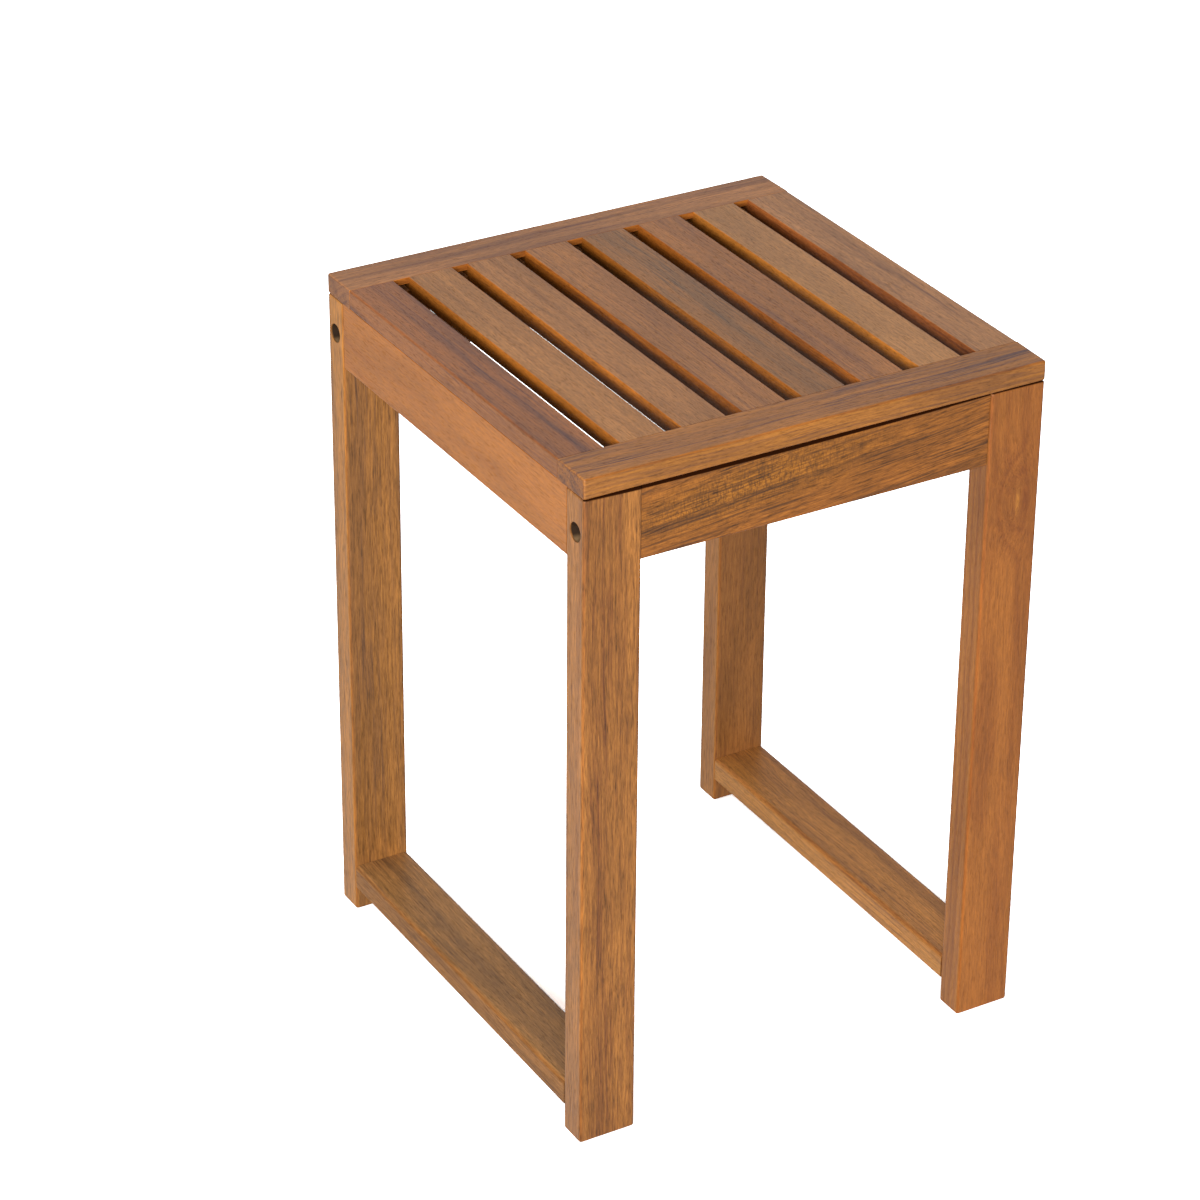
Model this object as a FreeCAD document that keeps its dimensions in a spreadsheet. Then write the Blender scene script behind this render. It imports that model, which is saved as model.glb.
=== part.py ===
import FreeCAD, Part

# Slatted bathroom stool of oiled acacia, as an assembly of its real pieces.
#
# The seat is eight slats tongued into a front and a rear rail. It stands on two side frames, each
# of two legs with an apron and a rung tenoned between them. The front and rear aprons carry the seat
# on screws, and a connector bolt through each leg draws them against the side frames with a barrel
# nut, beside a dowel.
#
# Millimetres. The origin is on the floor under the seat's middle. X runs to the right along the
# front rail, Y to the back and Z up.

import os
import re

import Sketcher


# Driving sizes of the whole stool and of each kind of piece: name, value, what it is
SIZES = (
    ("stool_height", 450, "floor to the top of the seat"),
    ("seat_width", 312, "seat across, along the rails"),
    ("seat_depth", 314, "seat front to back, along the slats"),
    ("seat_thickness", 13, "rails and edge slats"),
    ("rail_width", 30, "rail, front to back"),
    ("seat_round", 1.5, "rounding of the seat's outer edges"),
    ("slat_count", 8, "slats with the two edge slats"),
    ("slat_width", 29.8, "slat across"),
    ("slat_thickness", 11, "inner slat, thinner than the edge slats"),
    ("slat_round", 0.8, "rounding of the slats' long edges"),
    ("groove_lip", 4, "wood left above the rail's groove"),
    ("groove_height", 5, "opening of the groove"),
    ("groove_depth", 10, "groove into the rail"),
    ("groove_stop", 12, "solid end of the rail past the groove"),
    ("tongue_length", 9, "slat tongue into the groove"),
    ("tongue_shoulder", 1, "tongue narrower than its slat on each side"),
    ("fit_clearance", 0.1, "room all round a tongue, dowel or nut in its seat"),
    ("leg_width", 38, "leg along the front"),
    ("leg_depth", 20, "leg front to back"),
    ("leg_round", 2, "rounding of the leg's long edges"),
    ("apron_thickness", 16, "all four aprons"),
    ("apron_round", 1, "rounding of an apron's lower edges"),
    ("front_apron_height", 47.5, "front and rear aprons"),
    ("front_apron_recess", 1.5, "front apron's face behind the leg's face"),
    ("side_apron_height", 43.5, "left and right aprons"),
    ("side_apron_recess", 0.5, "side apron's face behind the leg's face"),
    ("rung_thickness", 16.5, "rung from top to underside"),
    ("rung_clearance", 17, "floor to the underside of a rung"),
    ("rung_round", 3, "rounding of the rung's upper edges"),
    ("rung_tenon_width", 24, "rung's tenon across"),
    ("tenon_height", 8, "every tenon from top to underside"),
    ("tenon_length", 14, "every tenon into the leg"),
    ("apron_tenon_width", 8, "side apron's two tenons across"),
    ("apron_tenon_spacing", 23, "side apron's two tenons, above and below the bolt"),
    ("dowel_diameter", 8, "dowel between a leg and the front or rear apron"),
    ("dowel_length", 30, "the same dowel"),
    ("dowel_seat", 13, "dowel into the leg"),
    ("end_room", 0.5, "hole past the end of a dowel, tenon or screw"),
    ("dowel_drop", 14, "dowel's middle under the bolt's"),
    ("bolt_diameter", 6, "shank of a connector bolt"),
    ("bolt_length", 56, "shank from under the head"),
    ("bolt_clearance", 0.5, "shank hole wider than the shank"),
    ("bolt_end_room", 4, "shank hole past the bolt's end"),
    ("bolt_head_diameter", 9.5, "head of a connector bolt"),
    ("bolt_head_height", 4, "head of a connector bolt"),
    ("socket_width", 5, "hexagon socket across its corners"),
    ("socket_depth", 2.5, "hexagon socket into the head"),
    ("bolt_seat_diameter", 12, "deep hole that sinks the head in the leg"),
    ("bolt_seat_depth", 14, "deep hole from the leg's outer narrow face"),
    ("nut_diameter", 10, "barrel nut"),
    ("nut_length", 12, "barrel nut"),
    ("nut_setback", 24, "barrel nut's middle from the apron's end"),
    ("nut_slot_width", 1.2, "screwdriver slot across the nut's end"),
    ("nut_slot_depth", 1.5, "screwdriver slot into the nut"),
    ("screw_diameter", 4, "shank of a seat screw"),
    ("screw_length", 30, "shank from under the head"),
    ("screw_head_diameter", 8, "head of a seat screw"),
    ("screw_head_height", 2.5, "head of a seat screw"),
    ("screw_clearance", 0.4, "apron's hole wider than the screw's shank"),
    ("screw_seat_diameter", 9, "deep hole from the apron's underside"),
    ("screw_bite", 8.5, "screw's tip into the rail"),
    ("screw_setback", 58, "screw from the apron's end, past the bolt's tip"),
)

# Sizes that follow from the driving sizes
FOLLOWING = {
    "frame_top": "stool_height - seat_thickness",
    "slat_length": "seat_depth - 2 * rail_width",
    "slat_pitch": "(seat_width - slat_width) / (slat_count - 1)",
    "tongue_thickness": "groove_height - 2 * fit_clearance",
    "front_apron_length": "seat_width - 2 * leg_width",
    "side_apron_length": "seat_depth - 2 * leg_depth",
    "front_apron_y": "seat_depth / 2 - front_apron_recess - apron_thickness / 2",
    "front_apron_z": "frame_top - front_apron_height / 2",
    "side_apron_x": "seat_width / 2 - side_apron_recess - apron_thickness / 2",
    "side_apron_z": "frame_top - side_apron_height / 2",
    "leg_x": "(seat_width - leg_width) / 2",
    "leg_y": "(seat_depth - leg_depth) / 2",
    "rung_z": "rung_clearance + rung_thickness / 2",
    "dowel_hole": "dowel_diameter + 2 * fit_clearance",
    "leg_dowel_depth": "dowel_seat + end_room",
    "board_dowel_depth": "dowel_length - dowel_seat + end_room",
    "bolt_hole": "bolt_diameter + bolt_clearance",
    "bolt_reach": "bolt_length - (leg_width - bolt_seat_depth)",
    "nut_x": "front_apron_length / 2 - nut_setback",
    "nut_hole": "nut_diameter + 2 * fit_clearance",
    "nut_hole_depth": "(apron_thickness + nut_length) / 2",
    "screw_x": "front_apron_length / 2 - screw_setback",
    "screw_seat_z": "frame_top + screw_bite - screw_length",
    "screw_seat_depth": "front_apron_height + screw_bite - screw_length",
}

# The bevel round a leg's top and foot, as a share of its rounding. At the top it makes the thin
# shadow line under the seat.
END_BEVEL_SHARE = 0.8

X_AXIS = FreeCAD.Vector(1, 0, 0)
Y_AXIS = FreeCAD.Vector(0, 1, 0)
Z_AXIS = FreeCAD.Vector(0, 0, 1)

# The sign of X to the left and right, and of Y at the front and rear
ACROSS = {"left": -1, "right": 1}
DEEP = {"front": -1, "rear": 1}
PAIR = (-1, 1)


def formula(text):
    """Turn a sum of size names into an expression that reads the sheet."""
    def read(word):
        name = word.group(0)
        if name in FOLLOWING:
            return "(" + formula(FOLLOWING[name]) + ")"
        return "sizes." + name
    return re.sub("[a-z_]+", read, text)


def write_sheet(doc):
    """Write the driving sizes into the document's spreadsheet, one named cell each."""
    sheet = doc.addObject("Spreadsheet::Sheet", "sizes")
    for row, (name, value, meaning) in enumerate(SIZES, start=1):
        sheet.set(f"A{row}", meaning)
        sheet.set(f"B{row}", str(value))
        sheet.setAlias(f"B{row}", name)
    doc.recompute()
    return sheet


def bind(item, path, text):
    """Bind one property of an object to a sum of size names."""
    item.setExpression(path, formula(text))


def place(item, x="0", y="0", z="0", turn=None):
    """Set an object's turn, and bind its place to sums of size names."""
    if turn is not None:
        item.Placement = FreeCAD.Placement(FreeCAD.Vector(), turn)
    bind(item, "Placement.Base.x", x)
    bind(item, "Placement.Base.y", y)
    bind(item, "Placement.Base.z", z)


def half_turn(side):
    """Turn a piece round for the right or the rear, and leave it as it is on the other side."""
    return FreeCAD.Rotation(Z_AXIS, 180 if side > 0 else 0)


def number(doc, text):
    """Work out a sum of size names as a plain number."""
    return float(doc.sizes.evalExpression(formula(text)))


def sketch_on(body, role, name, offset="0"):
    """Start a sketch on one of the body's own planes, moved along that plane's normal."""
    sketch = body.newObject("Sketcher::SketchObject", name)
    plane = next(item for item in body.Origin.OriginFeatures if item.Role == role)
    sketch.AttachmentSupport = [(plane, "")]
    sketch.MapMode = "FlatFace"
    bind(sketch, "AttachmentOffset.Base.z", offset)
    return sketch


def constrain(sketch, kind, *places, text):
    """Add a dimension to a sketch and bind its value to a sum of size names."""
    start = number(sketch.Document, text)
    index = sketch.addConstraint(Sketcher.Constraint(kind, *places, start))
    bind(sketch, f"Constraints[{index}]", text)


def rectangle(sketch, left, bottom, width, height):
    """Draw a rectangle whose corner and sides are sums of size names."""
    doc = sketch.Document
    low = FreeCAD.Vector(number(doc, left), number(doc, bottom))
    across = FreeCAD.Vector(number(doc, width), 0)
    up = FreeCAD.Vector(0, number(doc, height))
    corners = [low, low + across, low + across + up, low + up]
    lines = [
        sketch.addGeometry(Part.LineSegment(start, end), False)
        for start, end in zip(corners, corners[1:] + corners[:1])
    ]
    lower, right, upper, _ = lines
    for line, following in zip(lines, lines[1:] + lines[:1]):
        sketch.addConstraint(Sketcher.Constraint("Coincident", line, 2, following, 1))
    for level, upright in zip((lower, upper), lines[1::2]):
        sketch.addConstraint(Sketcher.Constraint("Horizontal", level))
        sketch.addConstraint(Sketcher.Constraint("Vertical", upright))
    constrain(sketch, "DistanceX", -1, 1, lower, 1, text=left)
    constrain(sketch, "DistanceY", -1, 1, lower, 1, text=bottom)
    constrain(sketch, "DistanceX", lower, 1, lower, 2, text=width)
    constrain(sketch, "DistanceY", right, 1, right, 2, text=height)


def tenon(sketch, across, up, width, room="0"):
    """Draw a tenon about its middle, or with room all round it, its mortise."""
    full_width = f"({width} + 2 * {room})"
    full_height = f"(tenon_height + 2 * {room})"
    rectangle(sketch, f"{across} - {full_width} / 2", f"{up} - {full_height} / 2", full_width, full_height)


def apron_tenons(sketch, across, bolt_up, room="0"):
    """Draw a side apron's two tenons, or their mortises, above and below the bolt."""
    for step in PAIR:
        tenon(sketch, across, f"{bolt_up} + {step} * apron_tenon_spacing / 2", "apron_tenon_width", room)


def circle(sketch, across, up, diameter):
    """Draw a circle whose middle and diameter are sums of size names."""
    doc = sketch.Document
    middle = FreeCAD.Vector(number(doc, across), number(doc, up))
    start_radius = number(doc, diameter) / 2
    ring = sketch.addGeometry(Part.Circle(middle, FreeCAD.Vector(0, 0, 1), start_radius), False)
    constrain(sketch, "DistanceX", -1, 1, ring, 3, text=across)
    constrain(sketch, "DistanceY", -1, 1, ring, 3, text=up)
    constrain(sketch, "Diameter", ring, text=diameter)


def pad(body, sketch, name, length):
    """Add the sketch's outline, half of the length to each side of its plane."""
    feature = body.newObject("PartDesign::Pad", name)
    feature.Profile = sketch
    feature.SideType = "Symmetric"
    bind(feature, "Length", length)
    body.Document.recompute()
    return feature


def pocket(body, sketch, name, depth, side):
    """Cut the sketch's outline into the body from the face on one side of the plane's normal."""
    before = body.Shape.Volume
    feature = body.newObject("PartDesign::Pocket", name)
    feature.Profile = sketch
    feature.Reversed = side < 0
    bind(feature, "Length", depth)
    body.Document.recompute()
    if not body.Shape.Volume < before:
        raise RuntimeError(f"{body.Name}: {name} cuts nothing")
    return feature


def drill(body, role, name, face, side, middles, diameter, depth):
    """Cut round holes into a face, which lies at the sum named face along a plane's normal."""
    sketch = sketch_on(body, role, name + "_sketch", f"{side} * ({face})")
    for across, up in middles:
        circle(sketch, across, up, diameter)
    return pocket(body, sketch, name, depth, side)


def edges_along(shape, axis):
    """Name the edges of a shape that run along an axis, each with its middle."""
    found = []
    for index, edge in enumerate(shape.Edges, start=1):
        line = edge.lastVertex().Point - edge.firstVertex().Point
        if abs(line.dot(axis)) > edge.Length - Part.Precision.confusion():
            found.append((f"Edge{index}", edge.CenterOfMass))
    return found


def edges_at_ends(shape, half_height):
    """Name the edges round a shape's top and foot."""
    return [
        f"Edge{index}" for index, edge in enumerate(shape.Edges, start=1)
        if edge.BoundBox.ZLength < Part.Precision.confusion()
        and abs(abs(edge.CenterOfMass.z) - half_height) < Part.Precision.confusion()
    ]


def soften(body, kind, name, size, edges):
    """Round or bevel the body's named edges."""
    base = body.Tip
    feature = body.newObject(kind, name)
    feature.Base = (base, edges)
    bind(feature, "Radius" if kind == "PartDesign::Fillet" else "Size", size)
    body.Document.recompute()
    return feature


def board(doc, name, length_x, length_y, length_z):
    """Make a squared board about the middle of its own body."""
    body = doc.addObject("PartDesign::Body", name)
    body.Label = name
    sketch = sketch_on(body, "XY_Plane", name + "_outline")
    rectangle(sketch, f"-({length_x}) / 2", f"-({length_y}) / 2", length_x, length_y)
    pad(body, sketch, name + "_blank", length_z)
    return body


def make_rail(doc, name, deep):
    """Make a rail: outer edges rounded, and a stopped groove along the inner face."""
    body = board(doc, name, "seat_width", "rail_width", "seat_thickness")
    shape = body.Shape
    edges = [edge for edge, middle in edges_along(shape, X_AXIS) if middle.y < 0]
    edges += [edge for edge, middle in edges_along(shape, Y_AXIS)]
    soften(body, "PartDesign::Fillet", name + "_outer_edges", "seat_round", edges)
    groove = sketch_on(body, "XZ_Plane", name + "_groove_sketch", "-rail_width / 2")
    low = "seat_thickness / 2 - groove_lip - groove_height"
    rectangle(groove, "groove_stop - seat_width / 2", low, "seat_width - 2 * groove_stop", "groove_height")
    pocket(body, groove, name + "_groove", "groove_depth", -1)
    place(body, y=f"{deep} * (seat_depth - rail_width) / 2", z="stool_height - seat_thickness / 2",
          turn=half_turn(deep))
    return body


def add_tongue(body, thickness, left_shoulder, right_shoulder):
    """Run one tongue through the slat, so that it stands out at both ends."""
    sketch = sketch_on(body, "XZ_Plane", body.Name + "_tongue_sketch")
    low = f"{thickness} / 2 - groove_lip - (groove_height + tongue_thickness) / 2"
    width = f"slat_width - ({left_shoulder}) - ({right_shoulder})"
    rectangle(sketch, f"{left_shoulder} - slat_width / 2", low, width, "tongue_thickness")
    pad(body, sketch, body.Name + "_tongue", "slat_length + 2 * tongue_length")


def make_inner_slat(doc, index):
    """Make one of the slats between the edge slats, counted from the left."""
    body = board(doc, f"slat_{index}", "slat_width", "slat_length", "slat_thickness")
    edges = [edge for edge, middle in edges_along(body.Shape, Y_AXIS)]
    soften(body, "PartDesign::Fillet", body.Name + "_long_edges", "slat_round", edges)
    add_tongue(body, "slat_thickness", "tongue_shoulder", "tongue_shoulder")
    middle_x = f"{index - 1} * slat_pitch - (seat_width - slat_width) / 2"
    place(body, x=middle_x, z="stool_height - slat_thickness / 2")
    return body


def make_edge_slat(doc, name, side):
    """Make an edge slat: full thickness, its outer edges rounded like the rails' edges."""
    body = board(doc, name, "slat_width", "slat_length", "seat_thickness")
    outer = [edge for edge, middle in edges_along(body.Shape, Y_AXIS) if middle.x < 0]
    soften(body, "PartDesign::Fillet", name + "_outer_edges", "seat_round", outer)
    half_width = number(doc, "slat_width") / 2
    inner = [
        edge for edge, middle in edges_along(body.Shape, Y_AXIS)
        if abs(middle.x - half_width) < Part.Precision.confusion()
    ]
    soften(body, "PartDesign::Fillet", name + "_inner_edges", "slat_round", inner)
    add_tongue(body, "seat_thickness", "groove_stop + fit_clearance", "tongue_shoulder")
    place(body, x=f"{side} * (seat_width - slat_width) / 2", z="stool_height - seat_thickness / 2",
          turn=half_turn(side))
    return body


def make_leg(doc, name, near, deep):
    """Make a leg with its bolt hole, the deep seat of the bolt's head, and its dowel hole and mortises."""
    body = board(doc, name, "leg_width", "leg_depth", "frame_top")
    edges = [edge for edge, middle in edges_along(body.Shape, Z_AXIS)]
    soften(body, "PartDesign::Fillet", name + "_long_edges", "leg_round", edges)
    rims = edges_at_ends(body.Shape, number(doc, "frame_top") / 2)
    soften(body, "PartDesign::Chamfer", name + "_end_bevels", f"{END_BEVEL_SHARE} * leg_round", rims)

    # In the leg's own frame: the middle planes of both aprons, and the heights of what they hold
    bolt_y = f"{deep} * (front_apron_y - leg_y)"
    apron_x = f"{near} * (side_apron_x - leg_x)"
    bolt_z = "front_apron_z - frame_top / 2"
    wide = "leg_width / 2"
    drill(body, "YZ_Plane", name + "_bolt_hole", wide, near, [(bolt_y, bolt_z)], "bolt_hole", "leg_width")
    drill(body, "YZ_Plane", name + "_bolt_seat", wide, near, [(bolt_y, bolt_z)],
          "bolt_seat_diameter", "bolt_seat_depth")
    drill(body, "YZ_Plane", name + "_dowel_hole", wide, -near, [(bolt_y, f"{bolt_z} - dowel_drop")],
          "dowel_hole", "leg_dowel_depth")
    # The XZ plane's normal points to the front, so the face towards the rear has the front's sign
    mortises = sketch_on(body, "XZ_Plane", name + "_mortise_sketch", f"{deep} * leg_depth / 2")
    apron_tenons(mortises, apron_x, bolt_z, "fit_clearance")
    tenon(mortises, "0", "rung_z - frame_top / 2", "rung_tenon_width", "fit_clearance")
    pocket(body, mortises, name + "_mortises", "tenon_length + end_room", deep)
    place(body, x=f"{near} * leg_x", y=f"{deep} * leg_y", z="frame_top / 2")
    return body


def make_front_apron(doc, name, deep):
    """Make the front or rear apron, with the holes of its bolts, nuts, dowels and screws."""
    body = board(doc, name, "front_apron_length", "apron_thickness", "front_apron_height")
    lower = [edge for edge, middle in edges_along(body.Shape, X_AXIS) if middle.z < 0]
    soften(body, "PartDesign::Fillet", name + "_lower_edges", "apron_round", lower)
    ends = "front_apron_length / 2"
    for side in PAIR:
        which = "left" if side < 0 else "right"
        drill(body, "YZ_Plane", f"{name}_{which}_bolt_hole", ends, side, [("0", "0")],
              "bolt_hole", "bolt_reach + bolt_end_room")
        drill(body, "YZ_Plane", f"{name}_{which}_dowel_hole", ends, side, [("0", "-dowel_drop")],
              "dowel_hole", "board_dowel_depth")
    nuts = [(f"{side} * nut_x", "0") for side in PAIR]
    drill(body, "XZ_Plane", name + "_nut_holes", "apron_thickness / 2", -1, nuts,
          "nut_hole", "nut_hole_depth")
    screws = [(f"{side} * screw_x", "0") for side in PAIR]
    under = "front_apron_height / 2"
    drill(body, "XY_Plane", name + "_screw_holes", under, -1, screws,
          "screw_diameter + screw_clearance", "front_apron_height")
    drill(body, "XY_Plane", name + "_screw_seats", under, -1, screws,
          "screw_seat_diameter", "screw_seat_depth")
    place(body, y=f"{deep} * front_apron_y", z="front_apron_z", turn=half_turn(deep))
    return body


def make_side_apron(doc, name, near):
    """Make the left or right apron, with two tenons at each end."""
    body = board(doc, name, "apron_thickness", "side_apron_length", "side_apron_height")
    lower = [edge for edge, middle in edges_along(body.Shape, Y_AXIS) if middle.z < 0]
    soften(body, "PartDesign::Fillet", name + "_lower_edges", "apron_round", lower)
    sketch = sketch_on(body, "XZ_Plane", name + "_tenon_sketch")
    apron_tenons(sketch, "0", "front_apron_z - side_apron_z")
    pad(body, sketch, name + "_tenons", "side_apron_length + 2 * tenon_length")
    place(body, x=f"{near} * side_apron_x", z="side_apron_z")
    return body


def make_rung(doc, name, near):
    """Make a rung as wide as the legs, its upper edges softly rounded, with a tenon at each end."""
    body = board(doc, name, "leg_width", "side_apron_length", "rung_thickness")
    upper = [edge for edge, middle in edges_along(body.Shape, Y_AXIS) if middle.z > 0]
    soften(body, "PartDesign::Fillet", name + "_upper_edges", "rung_round", upper)
    sketch = sketch_on(body, "XZ_Plane", name + "_tenon_sketch")
    tenon(sketch, "0", "0", "rung_tenon_width")
    pad(body, sketch, name + "_tenon", "side_apron_length + 2 * tenon_length")
    place(body, x=f"{near} * leg_x", z="rung_z")
    return body


def drill_rail(body):
    """Drill the blind holes that take the tips of the seat screws."""
    middle_y = "(seat_depth - rail_width) / 2 - front_apron_y"
    screws = [(f"{side} * screw_x", middle_y) for side in PAIR]
    drill(body, "XY_Plane", body.Name + "_screw_holes", "seat_thickness / 2", -1, screws,
          "screw_diameter + 2 * fit_clearance", "screw_bite + end_room")


def cylinder(doc, name, diameter, height, z="0"):
    """Make a cylinder about the Z axis."""
    item = doc.addObject("Part::Cylinder", name)
    bind(item, "Radius", f"({diameter}) / 2")
    bind(item, "Height", height)
    place(item, z=z)
    return item


def boolean(doc, kind, name, base, tool):
    """Join two objects, or cut the second from the first."""
    item = doc.addObject(kind, name)
    item.Base = base
    item.Tool = tool
    return item


def connector_bolt(doc, name):
    """Make a bolt with its head's underside at zero, pointing up Z, and a hexagon socket."""
    shank = cylinder(doc, name + "_shank", "bolt_diameter", "bolt_length")
    head = cylinder(doc, name + "_head", "bolt_head_diameter", "bolt_head_height", "-bolt_head_height")
    blank = boolean(doc, "Part::Fuse", name + "_blank", head, shank)
    socket = doc.addObject("Part::Prism", name + "_socket")
    socket.Polygon = 6
    bind(socket, "Circumradius", "socket_width / 2")
    bind(socket, "Height", "socket_depth")
    place(socket, z="-bolt_head_height")
    return boolean(doc, "Part::Cut", name, blank, socket)


def barrel_nut(doc, name):
    """Make a barrel nut along Z about its middle, with the cross bore and a screwdriver slot."""
    barrel = cylinder(doc, name + "_barrel", "nut_diameter", "nut_length", "-nut_length / 2")
    bore = cylinder(doc, name + "_bore", "bolt_diameter + 2 * fit_clearance", "2 * nut_diameter")
    place(bore, x="-nut_diameter", turn=FreeCAD.Rotation(Y_AXIS, 90))
    bored = boolean(doc, "Part::Cut", name + "_bored", barrel, bore)
    slot = doc.addObject("Part::Box", name + "_slot")
    bind(slot, "Length", "2 * nut_diameter")
    bind(slot, "Width", "nut_slot_width")
    bind(slot, "Height", "2 * nut_slot_depth")
    place(slot, x="-nut_diameter", y="-nut_slot_width / 2", z="nut_length / 2 - nut_slot_depth")
    return boolean(doc, "Part::Cut", name, bored, slot)


def seat_screw(doc, name):
    """Make a screw with its head's underside at zero, pointing up Z."""
    shank = cylinder(doc, name + "_shank", "screw_diameter", "screw_length")
    head = cylinder(doc, name + "_head", "screw_head_diameter", "screw_head_height", "-screw_head_height")
    return boolean(doc, "Part::Fuse", name, head, shank)


def group(doc, name, items):
    """Gather alike fasteners in one node, as separate solids."""
    node = doc.addObject("Part::Compound", name)
    node.Label = name
    node.Links = items
    return node


def corners():
    """List the four corners of the stool, as the signs of X and Y."""
    return [(near, deep) for deep in DEEP.values() for near in ACROSS.values()]


def make_connector_bolts(doc):
    """Put a bolt in each leg, head sunk from the outer narrow face."""
    bolts = []
    for index, (near, deep) in enumerate(corners(), start=1):
        bolt = connector_bolt(doc, f"connector_bolt_{index}")
        place(bolt, x=f"{near} * (seat_width / 2 - bolt_seat_depth)", y=f"{deep} * front_apron_y",
              z="front_apron_z", turn=FreeCAD.Rotation(Y_AXIS, -90 * near))
        bolts.append(bolt)
    return group(doc, "connector_bolts", bolts)


def make_barrel_nuts(doc):
    """Put a nut across each bolt, its slot at the apron's inner face."""
    nuts = []
    for index, (near, deep) in enumerate(corners(), start=1):
        nut = barrel_nut(doc, f"barrel_nut_{index}")
        place(nut, x=f"{near} * nut_x", y=f"{deep} * front_apron_y", z="front_apron_z",
              turn=FreeCAD.Rotation(X_AXIS, 90 * deep))
        nuts.append(nut)
    return group(doc, "barrel_nuts", nuts)


def make_apron_dowels(doc):
    """Put a dowel between each leg and the front or rear apron, under the bolt."""
    dowels = []
    for index, (near, deep) in enumerate(corners(), start=1):
        rod = cylinder(doc, f"apron_dowel_{index}", "dowel_diameter", "dowel_length")
        place(rod, x=f"{near} * (front_apron_length / 2 + dowel_seat)", y=f"{deep} * front_apron_y",
              z="front_apron_z - dowel_drop", turn=FreeCAD.Rotation(Y_AXIS, -90 * near))
        dowels.append(rod)
    return group(doc, "apron_dowels", dowels)


def make_seat_screws(doc):
    """Put two screws up through each of the front and rear aprons, into the rail above."""
    screws = []
    for index, (near, deep) in enumerate(corners(), start=1):
        screw = seat_screw(doc, f"seat_screw_{index}")
        place(screw, x=f"{near} * screw_x", y=f"{deep} * front_apron_y", z="screw_seat_z")
        screws.append(screw)
    return group(doc, "top_screws", screws)


def make_seat(doc):
    """Make the seat's rails and slats."""
    rails = [make_rail(doc, f"{word}_rail", deep) for word, deep in DEEP.items()]
    for rail in rails:
        drill_rail(rail)
    edges = [make_edge_slat(doc, f"{word}_edge_slat", near) for word, near in ACROSS.items()]
    inner = [make_inner_slat(doc, index) for index in range(2, int(number(doc, "slat_count")))]
    return rails + edges + inner


def make_frames(doc):
    """Make the legs, aprons and rungs."""
    nodes = []
    for deep_word, deep in DEEP.items():
        for near_word, near in ACROSS.items():
            nodes.append(make_leg(doc, f"{deep_word}_{near_word}_leg", near, deep))
        nodes.append(make_front_apron(doc, f"{deep_word}_apron", deep))
    for near_word, near in ACROSS.items():
        nodes.append(make_side_apron(doc, f"{near_word}_apron", near))
        nodes.append(make_rung(doc, f"{near_word}_rung", near))
    return nodes


def make_fittings(doc):
    """Make the hidden bolts, nuts, dowels and screws."""
    return [
        make_connector_bolts(doc),
        make_barrel_nuts(doc),
        make_apron_dowels(doc),
        make_seat_screws(doc),
    ]


def check_and_export(doc, nodes):
    """Stop on any failed object or shape, and write each node's file."""
    doc.recompute()
    for item in doc.Objects:
        if "Invalid" in item.State or "Error" in item.State:
            raise RuntimeError(f"{item.Name} failed: {item.State}")
    for node in nodes:
        shape = node.Shape
        if shape.isNull() or not shape.isValid() or not shape.Solids:
            raise RuntimeError(f"{node.Label} has no valid solid")
    os.makedirs("parts", exist_ok=True)
    for node in nodes:
        node.Shape.exportStep(f"parts/{node.Label}.step")


def main():
    """Build the stool and write its nodes."""
    doc = FreeCAD.newDocument("bathroom_stool")
    write_sheet(doc)
    nodes = make_seat(doc) + make_frames(doc) + make_fittings(doc)
    check_and_export(doc, nodes)
    print(f"{len(nodes)} nodes, {sum(len(node.Shape.Solids) for node in nodes)} solids")


main()
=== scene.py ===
"""Looks of the slatted bathroom stool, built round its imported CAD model.

Every board is shaped by Geometry Nodes with the sizes of the CAD solid that it stands for, and cut from
its own place in a procedural log of oiled acacia. The hidden bolts, nuts, screws and dowels keep their
CAD meshes. Lengths are written in millimetres and turned to metres where Blender needs them.
"""

import logging
import math
from dataclasses import dataclass
from enum import Enum

import bpy
from mathutils import Euler, Matrix, Vector


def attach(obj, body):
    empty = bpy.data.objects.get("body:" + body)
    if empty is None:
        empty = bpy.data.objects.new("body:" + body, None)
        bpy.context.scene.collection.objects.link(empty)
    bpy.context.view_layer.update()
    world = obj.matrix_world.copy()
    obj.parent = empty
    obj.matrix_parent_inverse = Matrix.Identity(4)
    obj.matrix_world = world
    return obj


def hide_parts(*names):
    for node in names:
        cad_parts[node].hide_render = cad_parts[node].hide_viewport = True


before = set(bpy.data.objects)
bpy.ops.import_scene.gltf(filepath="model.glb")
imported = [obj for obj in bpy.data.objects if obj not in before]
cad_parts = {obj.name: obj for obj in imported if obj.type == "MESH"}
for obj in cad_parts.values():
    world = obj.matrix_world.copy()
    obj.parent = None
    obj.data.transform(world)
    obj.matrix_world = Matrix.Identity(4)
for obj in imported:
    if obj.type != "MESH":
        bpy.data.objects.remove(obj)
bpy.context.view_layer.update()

LOG = logging.getLogger("bathroom_stool")

Point = tuple[float, float, float]
Colour = tuple[float, float, float, float]
# What an input or a setting of a node can hold
Value = object

# One millimetre in Blender's metres
MM = 0.001
# Specular level of worked-in oil, which leaves no film and shines less than bare Fresnel reflection
OIL_GLOSS = 0.28
# How far a cutter stands out of each face that it enters or leaves, in millimetres
POKE = 1.0

MATH = "ShaderNodeMath"
VECTOR = "ShaderNodeVectorMath"
MIX = "ShaderNodeMix"
NOISE = "ShaderNodeTexNoise"
RANGE = "ShaderNodeMapRange"
PARTS = "ShaderNodeSeparateXYZ"


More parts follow.
